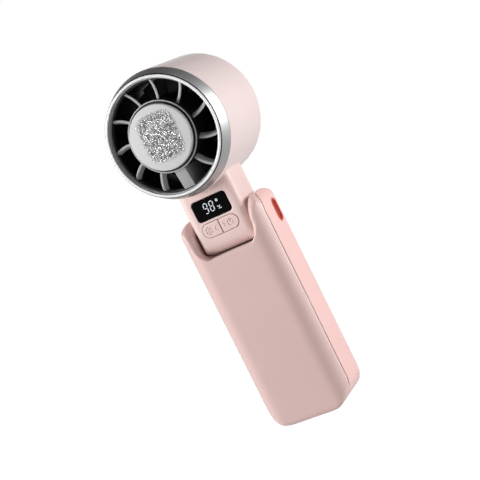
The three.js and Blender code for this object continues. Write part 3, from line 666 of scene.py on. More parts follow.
ball_grid = np.meshgrid(*[np.linspace(-2, 2, 9)] * 3, indexing="ij")
ball = np.sqrt(sum(places ** 2 for places in ball_grid)) - 1.2
ball_edges = [crossings_along(axis, ball, ball_grid) for axis in range(3)]
ball_points, ball_numbers = cell_points(ball, ball_edges)
print("a ball 2.4 mm across passes through", len(ball_points), "cells of half a millimetre")

# %% [markdown]
# Then the four cells round every crossed grid edge are joined into a quad that faces outward.
# %% Join the cells into quads


def quads_round(axis, crossed, solid_first, number):
    u, w = (axis + 1) % 3, (axis + 2) % 3
    at = np.argwhere(crossed)
    keep = np.ones(len(at), bool)
    for side in (u, w):
        keep &= (at[:, side] > 0) & (at[:, side] < number.shape[side])
    at = at[keep]
    loop = []
    for du, dw in ((-1, -1), (0, -1), (0, 0), (-1, 0)):
        cell = at.copy()
        cell[:, u] += du
        cell[:, w] += dw
        loop.append(number[tuple(cell.T)])
    quads = np.stack(loop, 1)
    outward = solid_first[tuple(at.T)]
    quads[~outward] = quads[~outward][:, ::-1]
    return quads.tolist()


crossed, solid_first, _ = ball_edges[0]
print("its X edges give", len(quads_round(0, crossed, solid_first, ball_numbers)), "quads")

# %% [markdown]
# The skin is drawn roughly first and then slid on to the shape in a few steps down its slope.
# Each slide is held to 0.3 mm, so that a vertex can't jump across a thin wall.
# %% Draw the skin
SLIDES = 5
LONGEST_SLIDE = 0.3


def moulded(name, shape, xs, ys, zs, material):
    grid = np.meshgrid(xs, ys, zs, indexing="ij")
    field = shape(*grid)
    edges = [crossings_along(axis, field, grid) for axis in range(3)]
    points, number = cell_points(field, edges)
    faces = []
    for axis, (crossed, solid_first, _) in enumerate(edges):
        faces += quads_round(axis, crossed, solid_first, number)
    for _ in range(SLIDES):
        gradient = slope(shape, points)
        size = np.maximum((gradient ** 2).sum(1), 0.05)
        move = (shape(*points.T) / size)[:, None] * gradient
        points -= np.clip(move, -LONGEST_SLIDE, LONGEST_SLIDE)
    piece = new_piece(name, points, faces, material)
    normals = slope(shape, points)
    normals /= np.maximum(np.linalg.norm(normals, axis=1), 1e-9)[:, None]
    piece.data.normals_split_custom_set_from_vertices(normals.tolist())
    print(f"{name}: {len(points)} vertices, {len(faces)} quads")
    return piece


# %% [markdown]
# ## The handle
# Two half shells meet at a line 8 mm behind the front face. Their shared outline is the overlap
# of three drawings, as a designer would sketch it: from above, from the front and from the side.
# The shells are hollow like the mouldings they stand for, with bores for the hinge pins, so
# nothing hidden pokes through them when the neck folds. Every flat side is in two of the three
# drawings, and a round overlap draws such a side in a little, so the whole is let out again.
# %% Outline of the handle
EAR_CROWN = (handle_back - handle_front) / 2
NOTCH_HALF = neck_half + 0.7
NOTCH_FLOOR = pivot_z - neck_deep - 0.5
NECK_FOOT = 6.5
TROUGH = math.sqrt(2) * (neck_deep - NECK_FOOT) + NECK_FOOT + 0.5
HANDLE_WALL = 1.8
ROOF = pivot_z - TROUGH - HANDLE_WALL
PARTING_ARC = 10.5
PLAN_CORNERS = (9, 9, 6.7, 6.7)  # two in front, two behind
FACE_CORNERS = (13, 13, 9, 9)  # two at the base, two on the ears
SIDE_CORNERS = (3, 3, 11, EAR_CROWN - 0.01)  # base front and back, ear back and front


def three_drawings(plan, face, side, blend):
    return both(both(plan, face, blend), side, blend) - blend * (math.sqrt(2) - 1)


def handle_outline(x, y, z):
    plan = plate(x, y, (-half_width, handle_front), (half_width, handle_back), PLAN_CORNERS)
    face = plate(x, z, (-half_width, 0), (half_width, ear_top), FACE_CORNERS)
    side = plate(y, z, (handle_front, 0), (handle_back, ear_top), SIDE_CORNERS)
    return three_drawings(plan, face, side, 0.8)


print(f"notch floor at {NOTCH_FLOOR:.1f}, trough radius {TROUGH:.1f}, ears up to {ear_top:.1f}")

# %% [markdown]
# The notch, the trough, the bores and the parting line are shapes too. Each is cut from the
# outline with its own edge radius.
# %% Openings in the handle


def notch(x, z):
    return plate(x, z, (-NOTCH_HALF, NOTCH_FLOOR), (NOTCH_HALF, ear_top + 30), (5.3, 5.3, 0, 0))


def bar(a, b, centre, radius):
    return np.hypot(a - centre[0], b - centre[1]) - radius


def trough(x, y, z):
    """The round hollow that the neck's foot sweeps when it folds."""
    return both(bar(y, z, (0, pivot_z), TROUGH), slab(x, -NOTCH_HALF, NOTCH_HALF))


def hinge_bores(x, y, z):
    """Right pin, left sleeve and the wire channel that climbs the left ear."""
    pin = both(bar(y, z, (0, pivot_z), 2.3), slab(x, NOTCH_HALF - 1, half_width - 3.3))
    sleeve = both(bar(y, z, (0, pivot_z), 3.3), slab(x, 2.3 - half_width, 1 - NOTCH_HALF))
    climb = both(bar(x, y, (3.8 - half_width, 0), 1.8), slab(z, ROOF - 1, pivot_z))
    return np.minimum(np.minimum(pin, sleeve), climb)


def hollow_handle(x, y, z, swell=0.0):
    outside = handle_outline(x, y, z) - swell
    lip = 0.8 + 3.6 * ease(z, NOTCH_FLOOR + 1, NOTCH_FLOOR + 9)
    body = cut(cut(outside, notch(x, z), lip), trough(x, y, z), 0.4)
    body = cut(body, both(outside + HANDLE_WALL, z - ROOF))
    return cut(body, hinge_bores(x, y, z))


def ahead_of_parting(y, z):
    """Below zero in front of the parting line, which bends back over the ear."""
    centre = parting_y + PARTING_ARC
    springing = ear_top - PARTING_ARC - 0.3
    arc = PARTING_ARC - np.hypot(y - centre, np.maximum(z - springing, 0))
    return np.maximum(arc, y - centre)


print("half-way up, the front face is", round(-float(ahead_of_parting(handle_front, 60.0)), 1),
      "mm ahead of the parting line")

# %% [markdown]
# ** Front shell.** It carries the deeper rose colour. A low bead along its edge is glossy and is
# painted a paler pink, a painted highlight for the bright thread of light up the side. A tongue
# reaches back from it toward the rear shell and is painted dark rose, as painted shade in the gap.
# %% Skin the front shell
handle_x = rows((-23.4, -13, 0.52), (-13, 13, 1.3), (13, 23.4, 0.52))
handle_z = rows((-0.7, 11, 0.65), (11, 79, 4.0), (79, 111, 0.5))
EDGE_GAP = 1.1  # the coated edge stops this far ahead of the parting line
BEAD_REACH, BEAD_HEIGHT = 1.9, 0.12
TONGUE_REACH, TONGUE_SINK = 1.6, 0.45


def front_shell(x, y, z):
    return both(hollow_handle(x, y, z), ahead_of_parting(y, z) + EDGE_GAP, 0.25)


def edge_bead(x, y, z):
    raised = hollow_handle(x, y, z, BEAD_HEIGHT * ease(z, 0.6, 4.0))
    return both(raised, slab(ahead_of_parting(y, z), -BEAD_REACH, -EDGE_GAP), 0.1)


# The tongue's dark colour is painted shade for the gap between the shells.
def tongue_in_painted_shade(x, y, z):
    sunk = both(hollow_handle(x, y, z), handle_outline(x, y, z) + TONGUE_SINK)
    return both(sunk, slab(ahead_of_parting(y, z), -TONGUE_REACH, -0.04))


front_y = rows((handle_front - 0.6, -9.0, 0.55), (-9.0, -7.6, 0.16), (-7.6, -6.8, 0.4),
               (-6.8, 5.0, 0.6))
front_piece = moulded("front_casing", front_shell, handle_x, front_y, handle_z, rose)
edge_y = rows((-9.4, -6.8, 0.14), (-6.8, 5.0, 0.35))
bead_piece = moulded("front_casing_bead", edge_bead, handle_x, edge_y, handle_z, polished_rose_painted_highlight)
tongue_piece = moulded("front_casing_tongue", tongue_in_painted_shade, handle_x, edge_y, handle_z, tongue_painted_shade_rose)

# %% [markdown]
# **Rear shell.** A brighter pink. Four screws sit deep in its back, a charging port opens in its
# base, and a strap slot in the right side turns out through the back.
# %% Posts and holes for the screws
HANDLE_SCREWS = [box_mm(f"handle_screw_{n}") for n in (1, 2, 3, 4)]
SCREW_PLACES = [((low[0] + high[0]) / 2, (low[2] + high[2]) / 2) for low, high in HANDLE_SCREWS]
SCREW_SEAT = handle_back - 2.9


def screw_posts(x, y, z):
    post = min_of(bar(x, z, place, 3.1) for place in SCREW_PLACES)
    return both(post, slab(y, SCREW_SEAT - 3.0, handle_back - 1))


def screw_holes(x, y, z):
    wide = min_of(bar(x, z, place, 2.3) for place in SCREW_PLACES)
    narrow = min_of(bar(x, z, place, 1.3) for place in SCREW_PLACES)
    return np.minimum(both(wide, SCREW_SEAT - y), both(narrow, SCREW_SEAT - 4 - y))


def min_of(fields):
    fields = iter(fields)
    least = next(fields)
    for field in fields:
        least = np.minimum(least, field)
    return least


print("screws at", [(round(float(x), 1), round(float(z), 1)) for x, z in SCREW_PLACES])

# %% [markdown]
# The strap's opening is a long hole for the liner, a pocket behind it and a way out to the back.
# %% Strap opening and port mouth


def strap_opening(x, y, z):
    mid_y, mid_z = (liner_low[1:] + liner_high[1:]) / 2
    half_y, half_z = (liner_high[1:] - liner_low[1:]) / 2

    def long_hole(grow):
        return plate(y, z, (mid_y - half_y - grow, mid_z - half_z - grow),
                     (mid_y + half_y + grow, mid_z + half_z + grow), [half_y + grow - 0.01] * 4)

    seat = both(long_hole(0.05), liner_low[0] - 0.1 - x)
    pocket = both(long_hole(-0.7), NOTCH_HALF + 1 - x)
    way_out = both(plate(x, z, (NOTCH_HALF + 1, mid_z - 4.1), (liner_low[0] - 0.4, mid_z + 4.1),
                         [0.8] * 4), mid_y - y)
    return min_of((seat, pocket, way_out))


def port_mouth(x, y, z):
    mid_y = (port_low[1] + port_high[1]) / 2
    half_x, half_y = port_high[0] + 0.3, (port_high[1] - port_low[1]) / 2 + 0.3
    return both(plate(x, y, (-half_x, mid_y - half_y), (half_x, mid_y + half_y),
                      [half_y - 0.01] * 4), slab(z, -5, 3))


port_width = 2 * (port_high[0] + 0.3)
print(f"the port's mouth is {port_width:.1f} mm wide")

# %% Skin the rear shell


def rear_shell(x, y, z):
    body = either(hollow_handle(x, y, z), screw_posts(x, y, z))
    body = both(body, -ahead_of_parting(y, z), 0.25)
    openings = min_of((strap_opening(x, y, z), screw_holes(x, y, z), port_mouth(x, y, z)))
    return cut(body, openings, 0.3)


rear_piece = moulded("rear_casing", rear_shell, handle_x,
                     rows((parting_y - 0.6, -5.4, 0.4), (-5.4, handle_back + 0.6, 0.6)),
                     handle_z, blush)

# %% Hang the shells on the handle


def belongs(piece, body, slot, *nodes):
    """Hangs a finished piece on its body and hides the packed nodes it stands in for."""
    for node in nodes:
        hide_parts(node)
    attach(piece, body)
    print(f"{piece.name} rides {body}, {len(piece.data.polygons)} faces")
    return piece


for piece in (front_piece, bead_piece, tongue_piece):
    belongs(piece, "handle", "rose_plastic", "handle_front_shell")
belongs(rear_piece, "handle", "pale_plastic", "handle_rear_shell")

# %% [markdown]
# **Strap slot liner.** A coral grommet with a round lip. It also lines the pocket behind, so the
# whole hollow glows red.
# %% Skin the liner


def liner_shape(x, y, z):
    mid_y, mid_z = (liner_low[1:] + liner_high[1:]) / 2
    half_y, half_z = (liner_high[1:] - liner_low[1:]) / 2
    outer = plate(y, z, (mid_y - half_y, mid_z - half_z), (mid_y + half_y, mid_z + half_z),
                  [half_y - 0.01] * 4)
    lip = cut(both(outer, slab(x, liner_low[0], liner_high[0]), 0.3), outer + 0.7, 0.25)
    floor = NOTCH_HALF + 1.1
    cup = cut(both(outer + 0.8, slab(x, floor, liner_low[0] + 0.3)),
              both(outer + 1.25, floor + 0.6 - x))
    way_out = both(mid_y - y, both(slab(z, mid_z - 4, mid_z + 4), slab(x, 0, liner_low[0] - 0.3)))
    return np.minimum(lip, cut(cup, way_out))


belongs(moulded("strap_slot_liner", liner_shape, rows((16.1, 23.0, 0.2)),
                rows((2.6, 9.8, 0.2)), rows((90.0, 102.8, 0.23)), coral),
        "handle", "coral_rubber", "lanyard_liner")

# %% [markdown]
# ## The neck
# A soft block, 29 mm wide, with a rounded foot that turns in the notch. The front half is one
# moulding with the head's drum. The rear half is a cover on two screws that hides the wires.
# %% Outline of the neck
NECK_WALL = 1.6
SEAM = cover_low[1] - 0.15
window_mid = (window_low + window_high) / 2
KEY_TOP, KEY_FOOT = cool_high[2] - 0.9, cool_low[2] + 0.9
KEY_LEFT, KEY_RIGHT = cool_low[0] + 0.9, power_high[0] - 0.9
KEY_ROUND = (KEY_TOP - KEY_FOOT) / 2


def neck_outline(x, y, z, inset=0.0):
    low = pivot_z - neck_deep
    plan = plate(x, y, (-neck_half, -neck_deep), (neck_half, neck_deep), [4.0] * 4)
    face = plate(x, z, (-neck_half, low), (neck_half, head_z), (4.6, 4.6, 0, 0))
    side = plate(y, z, (-neck_deep, low), (neck_deep, head_z), (NECK_FOOT, NECK_FOOT, 0, 0))
    return three_drawings(plan, face, side, 0.6) + inset


def hollow_neck(x, y, z):
    body = cut(neck_outline(x, y, z), neck_outline(x, y, z, NECK_WALL))
    bosses = both(bar(y, z, (0, pivot_z), 5.2), 10.9 - np.abs(x))
    body = both(either(body, bosses), neck_outline(x, y, z))
    pin = both(bar(y, z, (0, pivot_z), 2.3), -x)
    sleeve = both(bar(y, z, (0, pivot_z), 3.3), x)
    drum_room = bar(x, z, (0, head_z), drum_radius - 0.5)
    return cut(cut(body, np.minimum(pin, sleeve)), drum_room)


def key_slot(x, z, grow):
    return plate(x, z, (KEY_LEFT - grow, KEY_FOOT - grow), (KEY_RIGHT + grow, KEY_TOP + grow),
                 [KEY_ROUND + grow - 0.01] * 4)


def neck_face(x, y, z):
    body = both(hollow_neck(x, y, z), y - SEAM + 0.15, 0.3)
    glass = plate(x, z, (window_low[0] - 0.14, window_low[2] - 0.14),
                  (window_high[0] + 0.14, window_high[2] + 0.14), [1.94] * 4)
    seat = both(glass, y - window_high[1] - 0.1)
    slot = both(key_slot(x, z, 0.22), y + neck_deep - 4)
    return cut(body, np.minimum(seat, slot), 0.22)


belongs(moulded("neck_face", neck_face, rows((-15.1, 15.1, 0.42)),
                rows((-11.1, -8.6, 0.28), (-8.6, 2.8, 0.6)), rows((89.0, 125.6, 0.42)),
                shell_pink),
        "head", "pale_plastic", "head_shell")

# %% Skin the rear cover of the neck
NECK_SCREWS = [box_mm(f"neck_screw_{n}") for n in (1, 2)]


def neck_cover(x, y, z):
    body = both(hollow_neck(x, y, z), SEAM + 0.15 - y, 0.3)
    places = [((low[0] + high[0]) / 2, (low[2] + high[2]) / 2) for low, high in NECK_SCREWS]
    posts = both(both(min_of(bar(x, z, place, 2.6) for place in places),
                      slab(y, SEAM + 0.3, neck_deep - 1)), neck_outline(x, y, z) + 0.3)
    wide = both(min_of(bar(x, z, place, 1.8) for place in places), neck_deep - 1.8 - y)
    narrow = both(min_of(bar(x, z, place, 1.1) for place in places), SEAM - y)
    return cut(either(body, posts), np.minimum(wide, narrow), 0.2)


belongs(moulded("neck_cover", neck_cover, rows((-15.1, 15.1, 0.5)),
                rows((2.1, 11.1, 0.45)), rows((89.0, 125.6, 0.5)), shell_pink),
        "head", "pale_plastic", "neck_rear_cover")

# %% [markdown]
# **Keys.** One long pill is split into two keys. Their marks are pressed into the cap in the same
# pink: a snowflake and an arrow on the left, an arrow and a power sign on the right.
# %% Draw the marks of the two keys


def stroke(x, z, start, end, half):
    """Distance to a round-ended line."""
    along = np.array(end, float) - start
    share = np.clip(((x - start[0]) * along[0] + (z - start[1]) * along[1]) / along.dot(along),
                    0, 1)
    return np.hypot(x - start[0] - share * along[0], z - start[1] - share * along[1]) - half


def snowflake(x, z, centre, size, half):
    arms = []
    for k in range(6):
        turn = math.radians(60 * k + 30)
        out = np.array([math.cos(turn), math.sin(turn)])
        arms.append(stroke(x, z, centre, tuple(centre + out * size), half))
        knee = centre + out * size * 0.6
        for lean in (-0.8, 0.8):
            tip = knee + 0.38 * size * np.array([math.cos(turn + lean), math.sin(turn + lean)])
            arms.append(stroke(x, z, tuple(knee), tuple(tip), half))
    return min_of(arms)


def arrow(x, z, centre, way, half):
    tip = (centre[0] + 0.55 * way, centre[1])
    ends = [(centre[0] - 0.45 * way, centre[1] + lift) for lift in (1.0, -1.0)]
    return min_of(stroke(x, z, tip, end, half) for end in ends)


def power_sign(x, z, centre, size, half):
    ring = np.abs(np.hypot(x - centre[0], z - centre[1]) - size) - half
    gate = both(np.abs(x - centre[0]) - 0.55, centre[1] - z)
    bar_up = stroke(x, z, centre, (centre[0], centre[1] + size + 0.25), half)
    return np.minimum(cut(ring, gate), bar_up)


key_mid = (KEY_TOP + KEY_FOOT) / 2
COOL_MARKS = ((snowflake, np.array([-6.1, key_mid]), 1.9), (arrow, (-2.3, key_mid), -1))
POWER_MARKS = ((power_sign, (5.7, key_mid), 1.45), (arrow, (2.3, key_mid), 1))
print(f"marks at height {key_mid:.1f}, on caps {KEY_TOP - KEY_FOOT:.1f} tall")

# %% [markdown]
# Each cap is half of one long pill, with a thin flange behind it that the neck's wall holds in.
# The marks are pressed in by about a quarter of a millimetre, deep enough to catch a shade.
# %% Skin the caps
MARK_DEPTH = 0.24


def key_shape(side, marks):
    def shape(x, y, z):
        pill = plate(x, z, (KEY_LEFT, KEY_FOOT), (KEY_RIGHT, KEY_TOP), [KEY_ROUND - 0.01] * 4)
        half = both(pill, 0.2 - side * x, 0.25)
        cap = both(half, slab(y, cool_low[1], cool_high[1]), 0.35)
        flange = both(both(pill - 0.9, 0.2 - side * x), slab(y, cool_high[1] - 0.5, cool_high[1]))
        drawn = min_of(draw(x, z, centre, size, 0.2) for draw, centre, size in marks)
        pressed = both(drawn, y - cool_low[1] - MARK_DEPTH)
        return cut(np.minimum(cap, flange), pressed, 0.05)
    return shape


key_y = rows((cool_low[1] - 0.2, cool_low[1] + 0.4, 0.1),
             (cool_low[1] + 0.4, cool_high[1] + 0.2, 0.3))
key_z = rows((cool_low[2] - 0.3, cool_high[2] + 0.3, 0.15))
for key, side, marks, low, high in (("cool_key", -1, COOL_MARKS, cool_low, cool_high),
                                    ("power_key", 1, POWER_MARKS, power_low, power_high)):
    belongs(moulded(key + "_cap", key_shape(side, marks), rows((low[0] - 0.3, high[0] + 0.3, 0.15)),
                    key_y, key_z, shell_pink),
            key, "pale_plastic", "cool_button" if side < 0 else "power_button")

# %% [markdown]
# **Display.** A smoked glass pane lies flush in the neck. Through it glow two numerals, a round
# lamp and a percent sign.
# %% Lay the glass


def glass_pane(x, y, z):
    outline = plate(x, z, (window_low[0], window_low[2]), (window_high[0], window_high[2]),
                    [1.8] * 4)
    return both(outline, slab(y, window_low[1], window_high[1]), 0.18)


belongs(moulded("display_glass", glass_pane, rows((-9.8, 9.8, 0.3)), rows((-10.8, -9.7, 0.12)),
                rows((106.3, 117.0, 0.3)), smoked_glass),
        "head", "display_black", "display_window")


# %% [markdown]
# On the real fan the marks are light guides behind the pane. The pane here is solid black, so
# they are drawn as thin plates that stand 0.03 mm proud of it and glow a little.
# %% Helpers for glowing marks


def raised_marks(name, outlines, front, back, material):
    """Flat plates from (x, z) outlines, each drawn anticlockwise."""
    vertices, faces = [], []
    for outline in outlines:
        first, count = len(vertices), len(outline)
        vertices += [(x, front, z) for x, z in outline] + [(x, back, z) for x, z in outline]
        faces.append(list(range(first, first + count)))
        faces.append(list(range(first + 2 * count - 1, first + count - 1, -1)))
        for k in range(count):
            after = (k + 1) % count
            faces.append([first + k, first + count + k, first + count + after, first + after])
    return new_piece(name, vertices, faces, material, sharp=30)


def lit_bar(start, end, width):
    """One segment of a numeral: a bar with pointed ends."""
    start, end = np.array(start), np.array(end)
    along = (end - start) / np.linalg.norm(end - start)
    across = np.array([-along[1], along[0]]) * width / 2
    inner_a, inner_b = start + along * width / 2, end - along * width / 2
    points = [start, inner_a - across, inner_b - across, end, inner_b + across, inner_a + across]
    return [tuple(point) for point in points]


def numeral(centre, lit, width=1.9, height=4.7, thick=0.4, lean=0.12):
    w, h = width / 2, height / 2
    ends = {"a": ((-w, h), (w, h)), "b": ((w, 0), (w, h)), "c": ((w, -h), (w, 0)),
            "d": ((-w, -h), (w, -h)), "e": ((-w, -h), (-w, 0)), "f": ((-w, 0), (-w, h)),
            "g": ((-w, 0), (w, 0))}
    outlines = []
    for name in lit:
        start, end = (np.array(point) for point in ends[name])
        gap = (end - start) / np.linalg.norm(end - start) * 0.2
        outline = lit_bar(start + gap, end - gap, thick)
        outlines.append([(centre[0] + x + lean * z, centre[1] + z) for x, z in outline])
    return outlines


def disc(centre, radius, sides=28):
    return [(centre[0] + radius * math.cos(2 * math.pi * k / sides),
             centre[1] + radius * math.sin(2 * math.pi * k / sides)) for k in range(sides)]


print("a seven-stroke 8 has", len(numeral((0, 0), "abcdefg")), "bars")

# %% Light the marks
window_z = window_mid[2]
glass_face = window_low[1]
mark_front, mark_back = glass_face - 0.03, glass_face + 0.05
digits = numeral((-2.9, window_z + 0.3), "abcdfg") + numeral((0.4, window_z + 0.4), "abcdefg")
percent = [disc((3.3, window_z - 0.9), 0.32, 12), disc((4.5, window_z - 2.0), 0.32, 12),
           lit_bar((3.3, window_z - 2.3), (4.5, window_z - 0.6), 0.3)]
belongs(raised_marks("display_numerals", digits + percent, mark_front, mark_back, digit_glow),
        "head", "display_black", "display_window")
belongs(raised_marks("display_lamp", [disc((3.9, window_z + 2.1), 0.72)], mark_front, mark_back,
                     dot_glow), "head", "display_black", "display_window")

# %% [markdown]
# ## The head
# Everything round the nose is turned. A profile is drawn once as radius and depth, its corners
# are softened, and it is spun in 144 steps, which keeps highlights on the metal free of facets.
# %% Soften a profile


def soften(points, radius, steps=4):
    """Rounds each corner of a closed profile; a radius may be given for each corner."""
    radii = [radius] * len(points) if np.ndim(radius) == 0 else radius
    softened = []
    for k, corner in enumerate(points):
        corner = np.array(corner, float)
        before = np.array(points[k - 1], float)
        after = np.array(points[(k + 1) % len(points)], float)
        to_before, to_after = before - corner, after - corner
        reach = min(radii[k], np.linalg.norm(to_before) * 0.45, np.linalg.norm(to_after) * 0.45)
        if reach < 1e-3:
            softened.append(tuple(corner))
            continue
        start = corner + to_before / np.linalg.norm(to_before) * reach
        end = corner + to_after / np.linalg.norm(to_after) * reach
        for step in range(steps + 1):
            t = step / steps
            softened.append(tuple((1 - t) ** 2 * start + 2 * t * (1 - t) * corner + t * t * end))
    return softened


print("one softened corner of three:", len(soften([(0, 0), (1, 0), (1, 1)], (0, 0.2, 0))), "points")

# %% Turn a profile


def face_out(piece):
    """Turns every face of a closed mesh outward."""
    edit = bmesh.new()
    edit.from_mesh(piece.data)
    bmesh.ops.recalc_face_normals(edit, faces=edit.faces[:])
    edit.to_mesh(piece.data)
    edit.free()


def turned(name, profile, material, steps=144, sharp=40):
    """A closed profile of (radius, y) spun about the head's axis."""
    vertices, faces = [], []
    angles = np.linspace(0, 2 * math.pi, steps, endpoint=False)
    starts = []
    for radius, y in profile:
        starts.append(len(vertices))
        if radius < 1e-6:
            vertices.append((0, y, head_z))
        else:
            vertices += [(radius * math.sin(a), y, head_z + radius * math.cos(a)) for a in angles]
    for k, (radius, _) in enumerate(profile):
        after = (k + 1) % len(profile)
        next_radius = profile[after][0]
        if radius < 1e-6 and next_radius < 1e-6:
            continue
        for n in range(steps):
            m = (n + 1) % steps
            if radius < 1e-6:
                faces.append([starts[k], starts[after] + m, starts[after] + n])
            elif next_radius < 1e-6:
                faces.append([starts[k] + n, starts[k] + m, starts[after]])
            else:
                faces.append([starts[k] + n, starts[k] + m, starts[after] + m, starts[after] + n])
    piece = new_piece(name, vertices, faces, material, sharp=sharp)
    face_out(piece)
    return piece


# %% [markdown]
# ** Drum.** The long soft-touch tube behind the metal nose, with a rounded rear edge. Its pink is
# paler and greyer than the neck it is moulded with: painted sheen for its lit side.
# %% Turn the drum
inner = drum_radius - 1.8
drum_front = bezel_high[1] - 3.0 + 0.3
belongs(turned("drum", soften(
    [(inner, drum_front), (drum_radius, drum_front), (drum_radius - 0.2, drum_back),
     (inner, drum_back)], (0.1, 0.25, 1.5, 0.3), 6), drum_pink_painted_sheen),
    "head", "pale_plastic", "head_shell")

# %% [markdown]
# ** Bezel and bright rim.** A brushed cone with a polished lip. The lip is painted near-white and
# not metallic, a painted highlight for its bright line. A narrow black ring in the groove between
# the two is painted shade, so the lip reads as a separate bright line.
# %% Turn the bezel, its groove and its rim
bezel_front, bezel_rear = bezel_low[1], bezel_high[1] - 3.0
LIP = 28.5
BORE = 27.35
SKIRT_INNER, SKIRT_OUTER = 28.2, 28.9  # the bezel's tail inside the drum
belongs(turned("bezel_cone", soften(
    [(SKIRT_INNER, bezel_rear + 3), (SKIRT_OUTER, bezel_rear + 3), (SKIRT_OUTER, bezel_rear),
     (drum_radius - 0.05, bezel_rear), (LIP + 0.5, bezel_front + 0.8),
     (LIP + 0.3, bezel_front + 1.2), (BORE + 0.1, bezel_front + 1.1), (BORE + 0.1, bezel_rear),
     (SKIRT_INNER, bezel_rear)],
    (0.1, 0.1, 0.1, 0.2, 0.15, 0.1, 0.1, 0.2, 0.1)), bezel_metal),
    "head", "brushed_aluminium", "bezel_ring")
belongs(turned("bezel_rim", soften(
    [(BORE, bezel_front + 0.8), (BORE, bezel_front + 0.05), (BORE + 0.6, bezel_front - 0.02),
     (LIP + 0.05, bezel_front + 0.05), (LIP, bezel_front + 0.95)],
    (0.05, 0.2, 0.3, 0.2, 0.05), 5), rim_painted_highlight, sharp=80),
    "head", "brushed_aluminium", "bezel_ring")
# A black ring as painted shade in the groove between lip and cone.
belongs(turned("bezel_groove_painted_shade", soften(
    [(LIP + 0.08, bezel_front + 0.5), (LIP + 0.5, bezel_front + 0.75),
     (LIP + 0.4, bezel_front + 1.3), (LIP + 0.08, bezel_front + 1.3)], 0.05), duct_black),
    "head", "brushed_aluminium", "bezel_ring")

# %% [markdown]
# **Hub, ring and vanes.** Ten thin guide vanes and one wide one hold the hub cup. They lean out
# of the airflow and bend a little toward their tips. The wide one hides the motor wires.
# %% Helpers for swept pieces
hub_front, hub_back = grille_low[1], grille_high[1]
HUB_RADIUS = 17.1
ring_outer = grille_high[0]
ring_inner = ring_outer - 1.3
ring_front = bezel_rear - 2.9
VANES = 11
VANE_FRONT = ring_front - 0.4


def tube(rings):
    """Joins closed rings of points into one skin with flat ends."""
    count = len(rings[0])
    vertices = [tuple(point) for ring in rings for point in ring]
    faces = [list(range(count - 1, -1, -1)),
             list(range(len(vertices) - count, len(vertices)))]
    for r in range(len(rings) - 1):
        for k in range(count):
            m = (k + 1) % count
            a, b = r * count, (r + 1) * count
            faces.append([a + k, a + m, b + m, b + k])
    return vertices, faces


def merged(name, parts, material, sharp=35):
    vertices, faces = [], []
    for part_vertices, part_faces in parts:
        shift = len(vertices)
        vertices += part_vertices
        faces += [[shift + index for index in face] for face in part_faces]
    piece = new_piece(name, vertices, faces, material, sharp=sharp)
    face_out(piece)
    return piece


def about_axis(radius, turn, across, y):
    """A point at a radius and angle round the head's axis, moved sideways by across."""
    out = np.array([math.sin(turn), math.cos(turn)])
    side = np.array([math.cos(turn), -math.sin(turn)])
    flat = out * radius + side * across
    return (flat[0], y, head_z + flat[1])


print(f"vane ring {ring_inner:.1f} to {ring_outer:.1f} in radius, hub {HUB_RADIUS:.1f}")

# %% [markdown]
# A vane is swept from the hub out to the ring through a row of closed sections.
# %% Sweep the vanes


def vane(turn, width, slant, bend, front_hub, front_ring, back_hub, back_ring, stations=9):
    rings = []
    for s in np.linspace(0, 1, stations):
        radius = HUB_RADIUS - 0.5 + s * (ring_inner + 0.9 - HUB_RADIUS + 0.5)
        front = front_hub + s * (front_ring - front_hub)
        back = back_hub + s * (back_ring - back_hub)
        centre = (front_hub + back_hub) / 2
        section = soften([(-width / 2, front), (width / 2, front), (width / 2, back),
                          (-width / 2, back)], min(0.3, width / 3), 3)
        ring = []
        for across, y in section:
            shift = math.tan(slant) * (y - centre)
            ring.append(about_axis(radius, turn + bend * s * s, across + shift, y))
        rings.append(ring)
    return tube(rings)


thin_vanes = [vane(math.pi + 2 * math.pi * (k + 1) / VANES, 1.3, math.radians(-24),
                   math.radians(-5), VANE_FRONT, VANE_FRONT, VANE_FRONT + 2.6, VANE_FRONT + 2.6)
              for k in range(VANES - 1)]
belongs(merged("guide_vanes", thin_vanes, vane_grey), "head", "grey_plastic", "front_grille")
wide = vane(math.pi, 5.8, 0, 0, hub_front + 1.0, VANE_FRONT, hub_back, hub_back)
belongs(merged("wire_vane", [wide], vane_grey), "head", "grey_plastic", "front_grille")

# %% Turn the hub cup and the outer ring
belongs(turned("vane_ring", soften(
    [(ring_inner + 0.6, ring_front), (BORE, ring_front), (BORE, bezel_rear),
     (ring_inner + 0.6, bezel_rear)], 0.25), duct_black), "head", "grey_plastic", "front_grille")
belongs(turned("vane_lip", soften(
    [(BORE - 0.6, bezel_front + 0.95), (BORE, bezel_front + 0.95), (BORE, ring_front),
     (BORE - 0.6, ring_front)], 0.2), vane_grey), "head", "grey_plastic", "front_grille")
belongs(turned("hub_cup", soften(
    [(HUB_RADIUS - 0.8, hub_front + 0.35), (HUB_RADIUS, hub_front + 0.35), (HUB_RADIUS, hub_back),
     (11.6, hub_back), (11.6, hub_back - 4.2), (HUB_RADIUS - 0.8, hub_back - 4.2)], 0.15),
    duct_black), "head", "grey_plastic", "front_grille")
belongs(turned("hub_rim", soften(
    [(HUB_RADIUS - 0.75, hub_front + 0.33), (HUB_RADIUS - 0.65, hub_front),
     (HUB_RADIUS - 0.1, hub_front), (HUB_RADIUS, hub_front + 0.33)], 0.12), vane_grey, sharp=80),
    "head", "grey_plastic", "front_grille")
belongs(turned("duct_wall", soften(
    [(duct_high[0] - 1.2, duct_low[1]), (duct_high[0], duct_low[1]),
     (duct_high[0], duct_high[1]), (duct_high[0] - 1.2, duct_high[1])], 0.2), duct_black),
    "head", "black_plastic", "duct_liner")

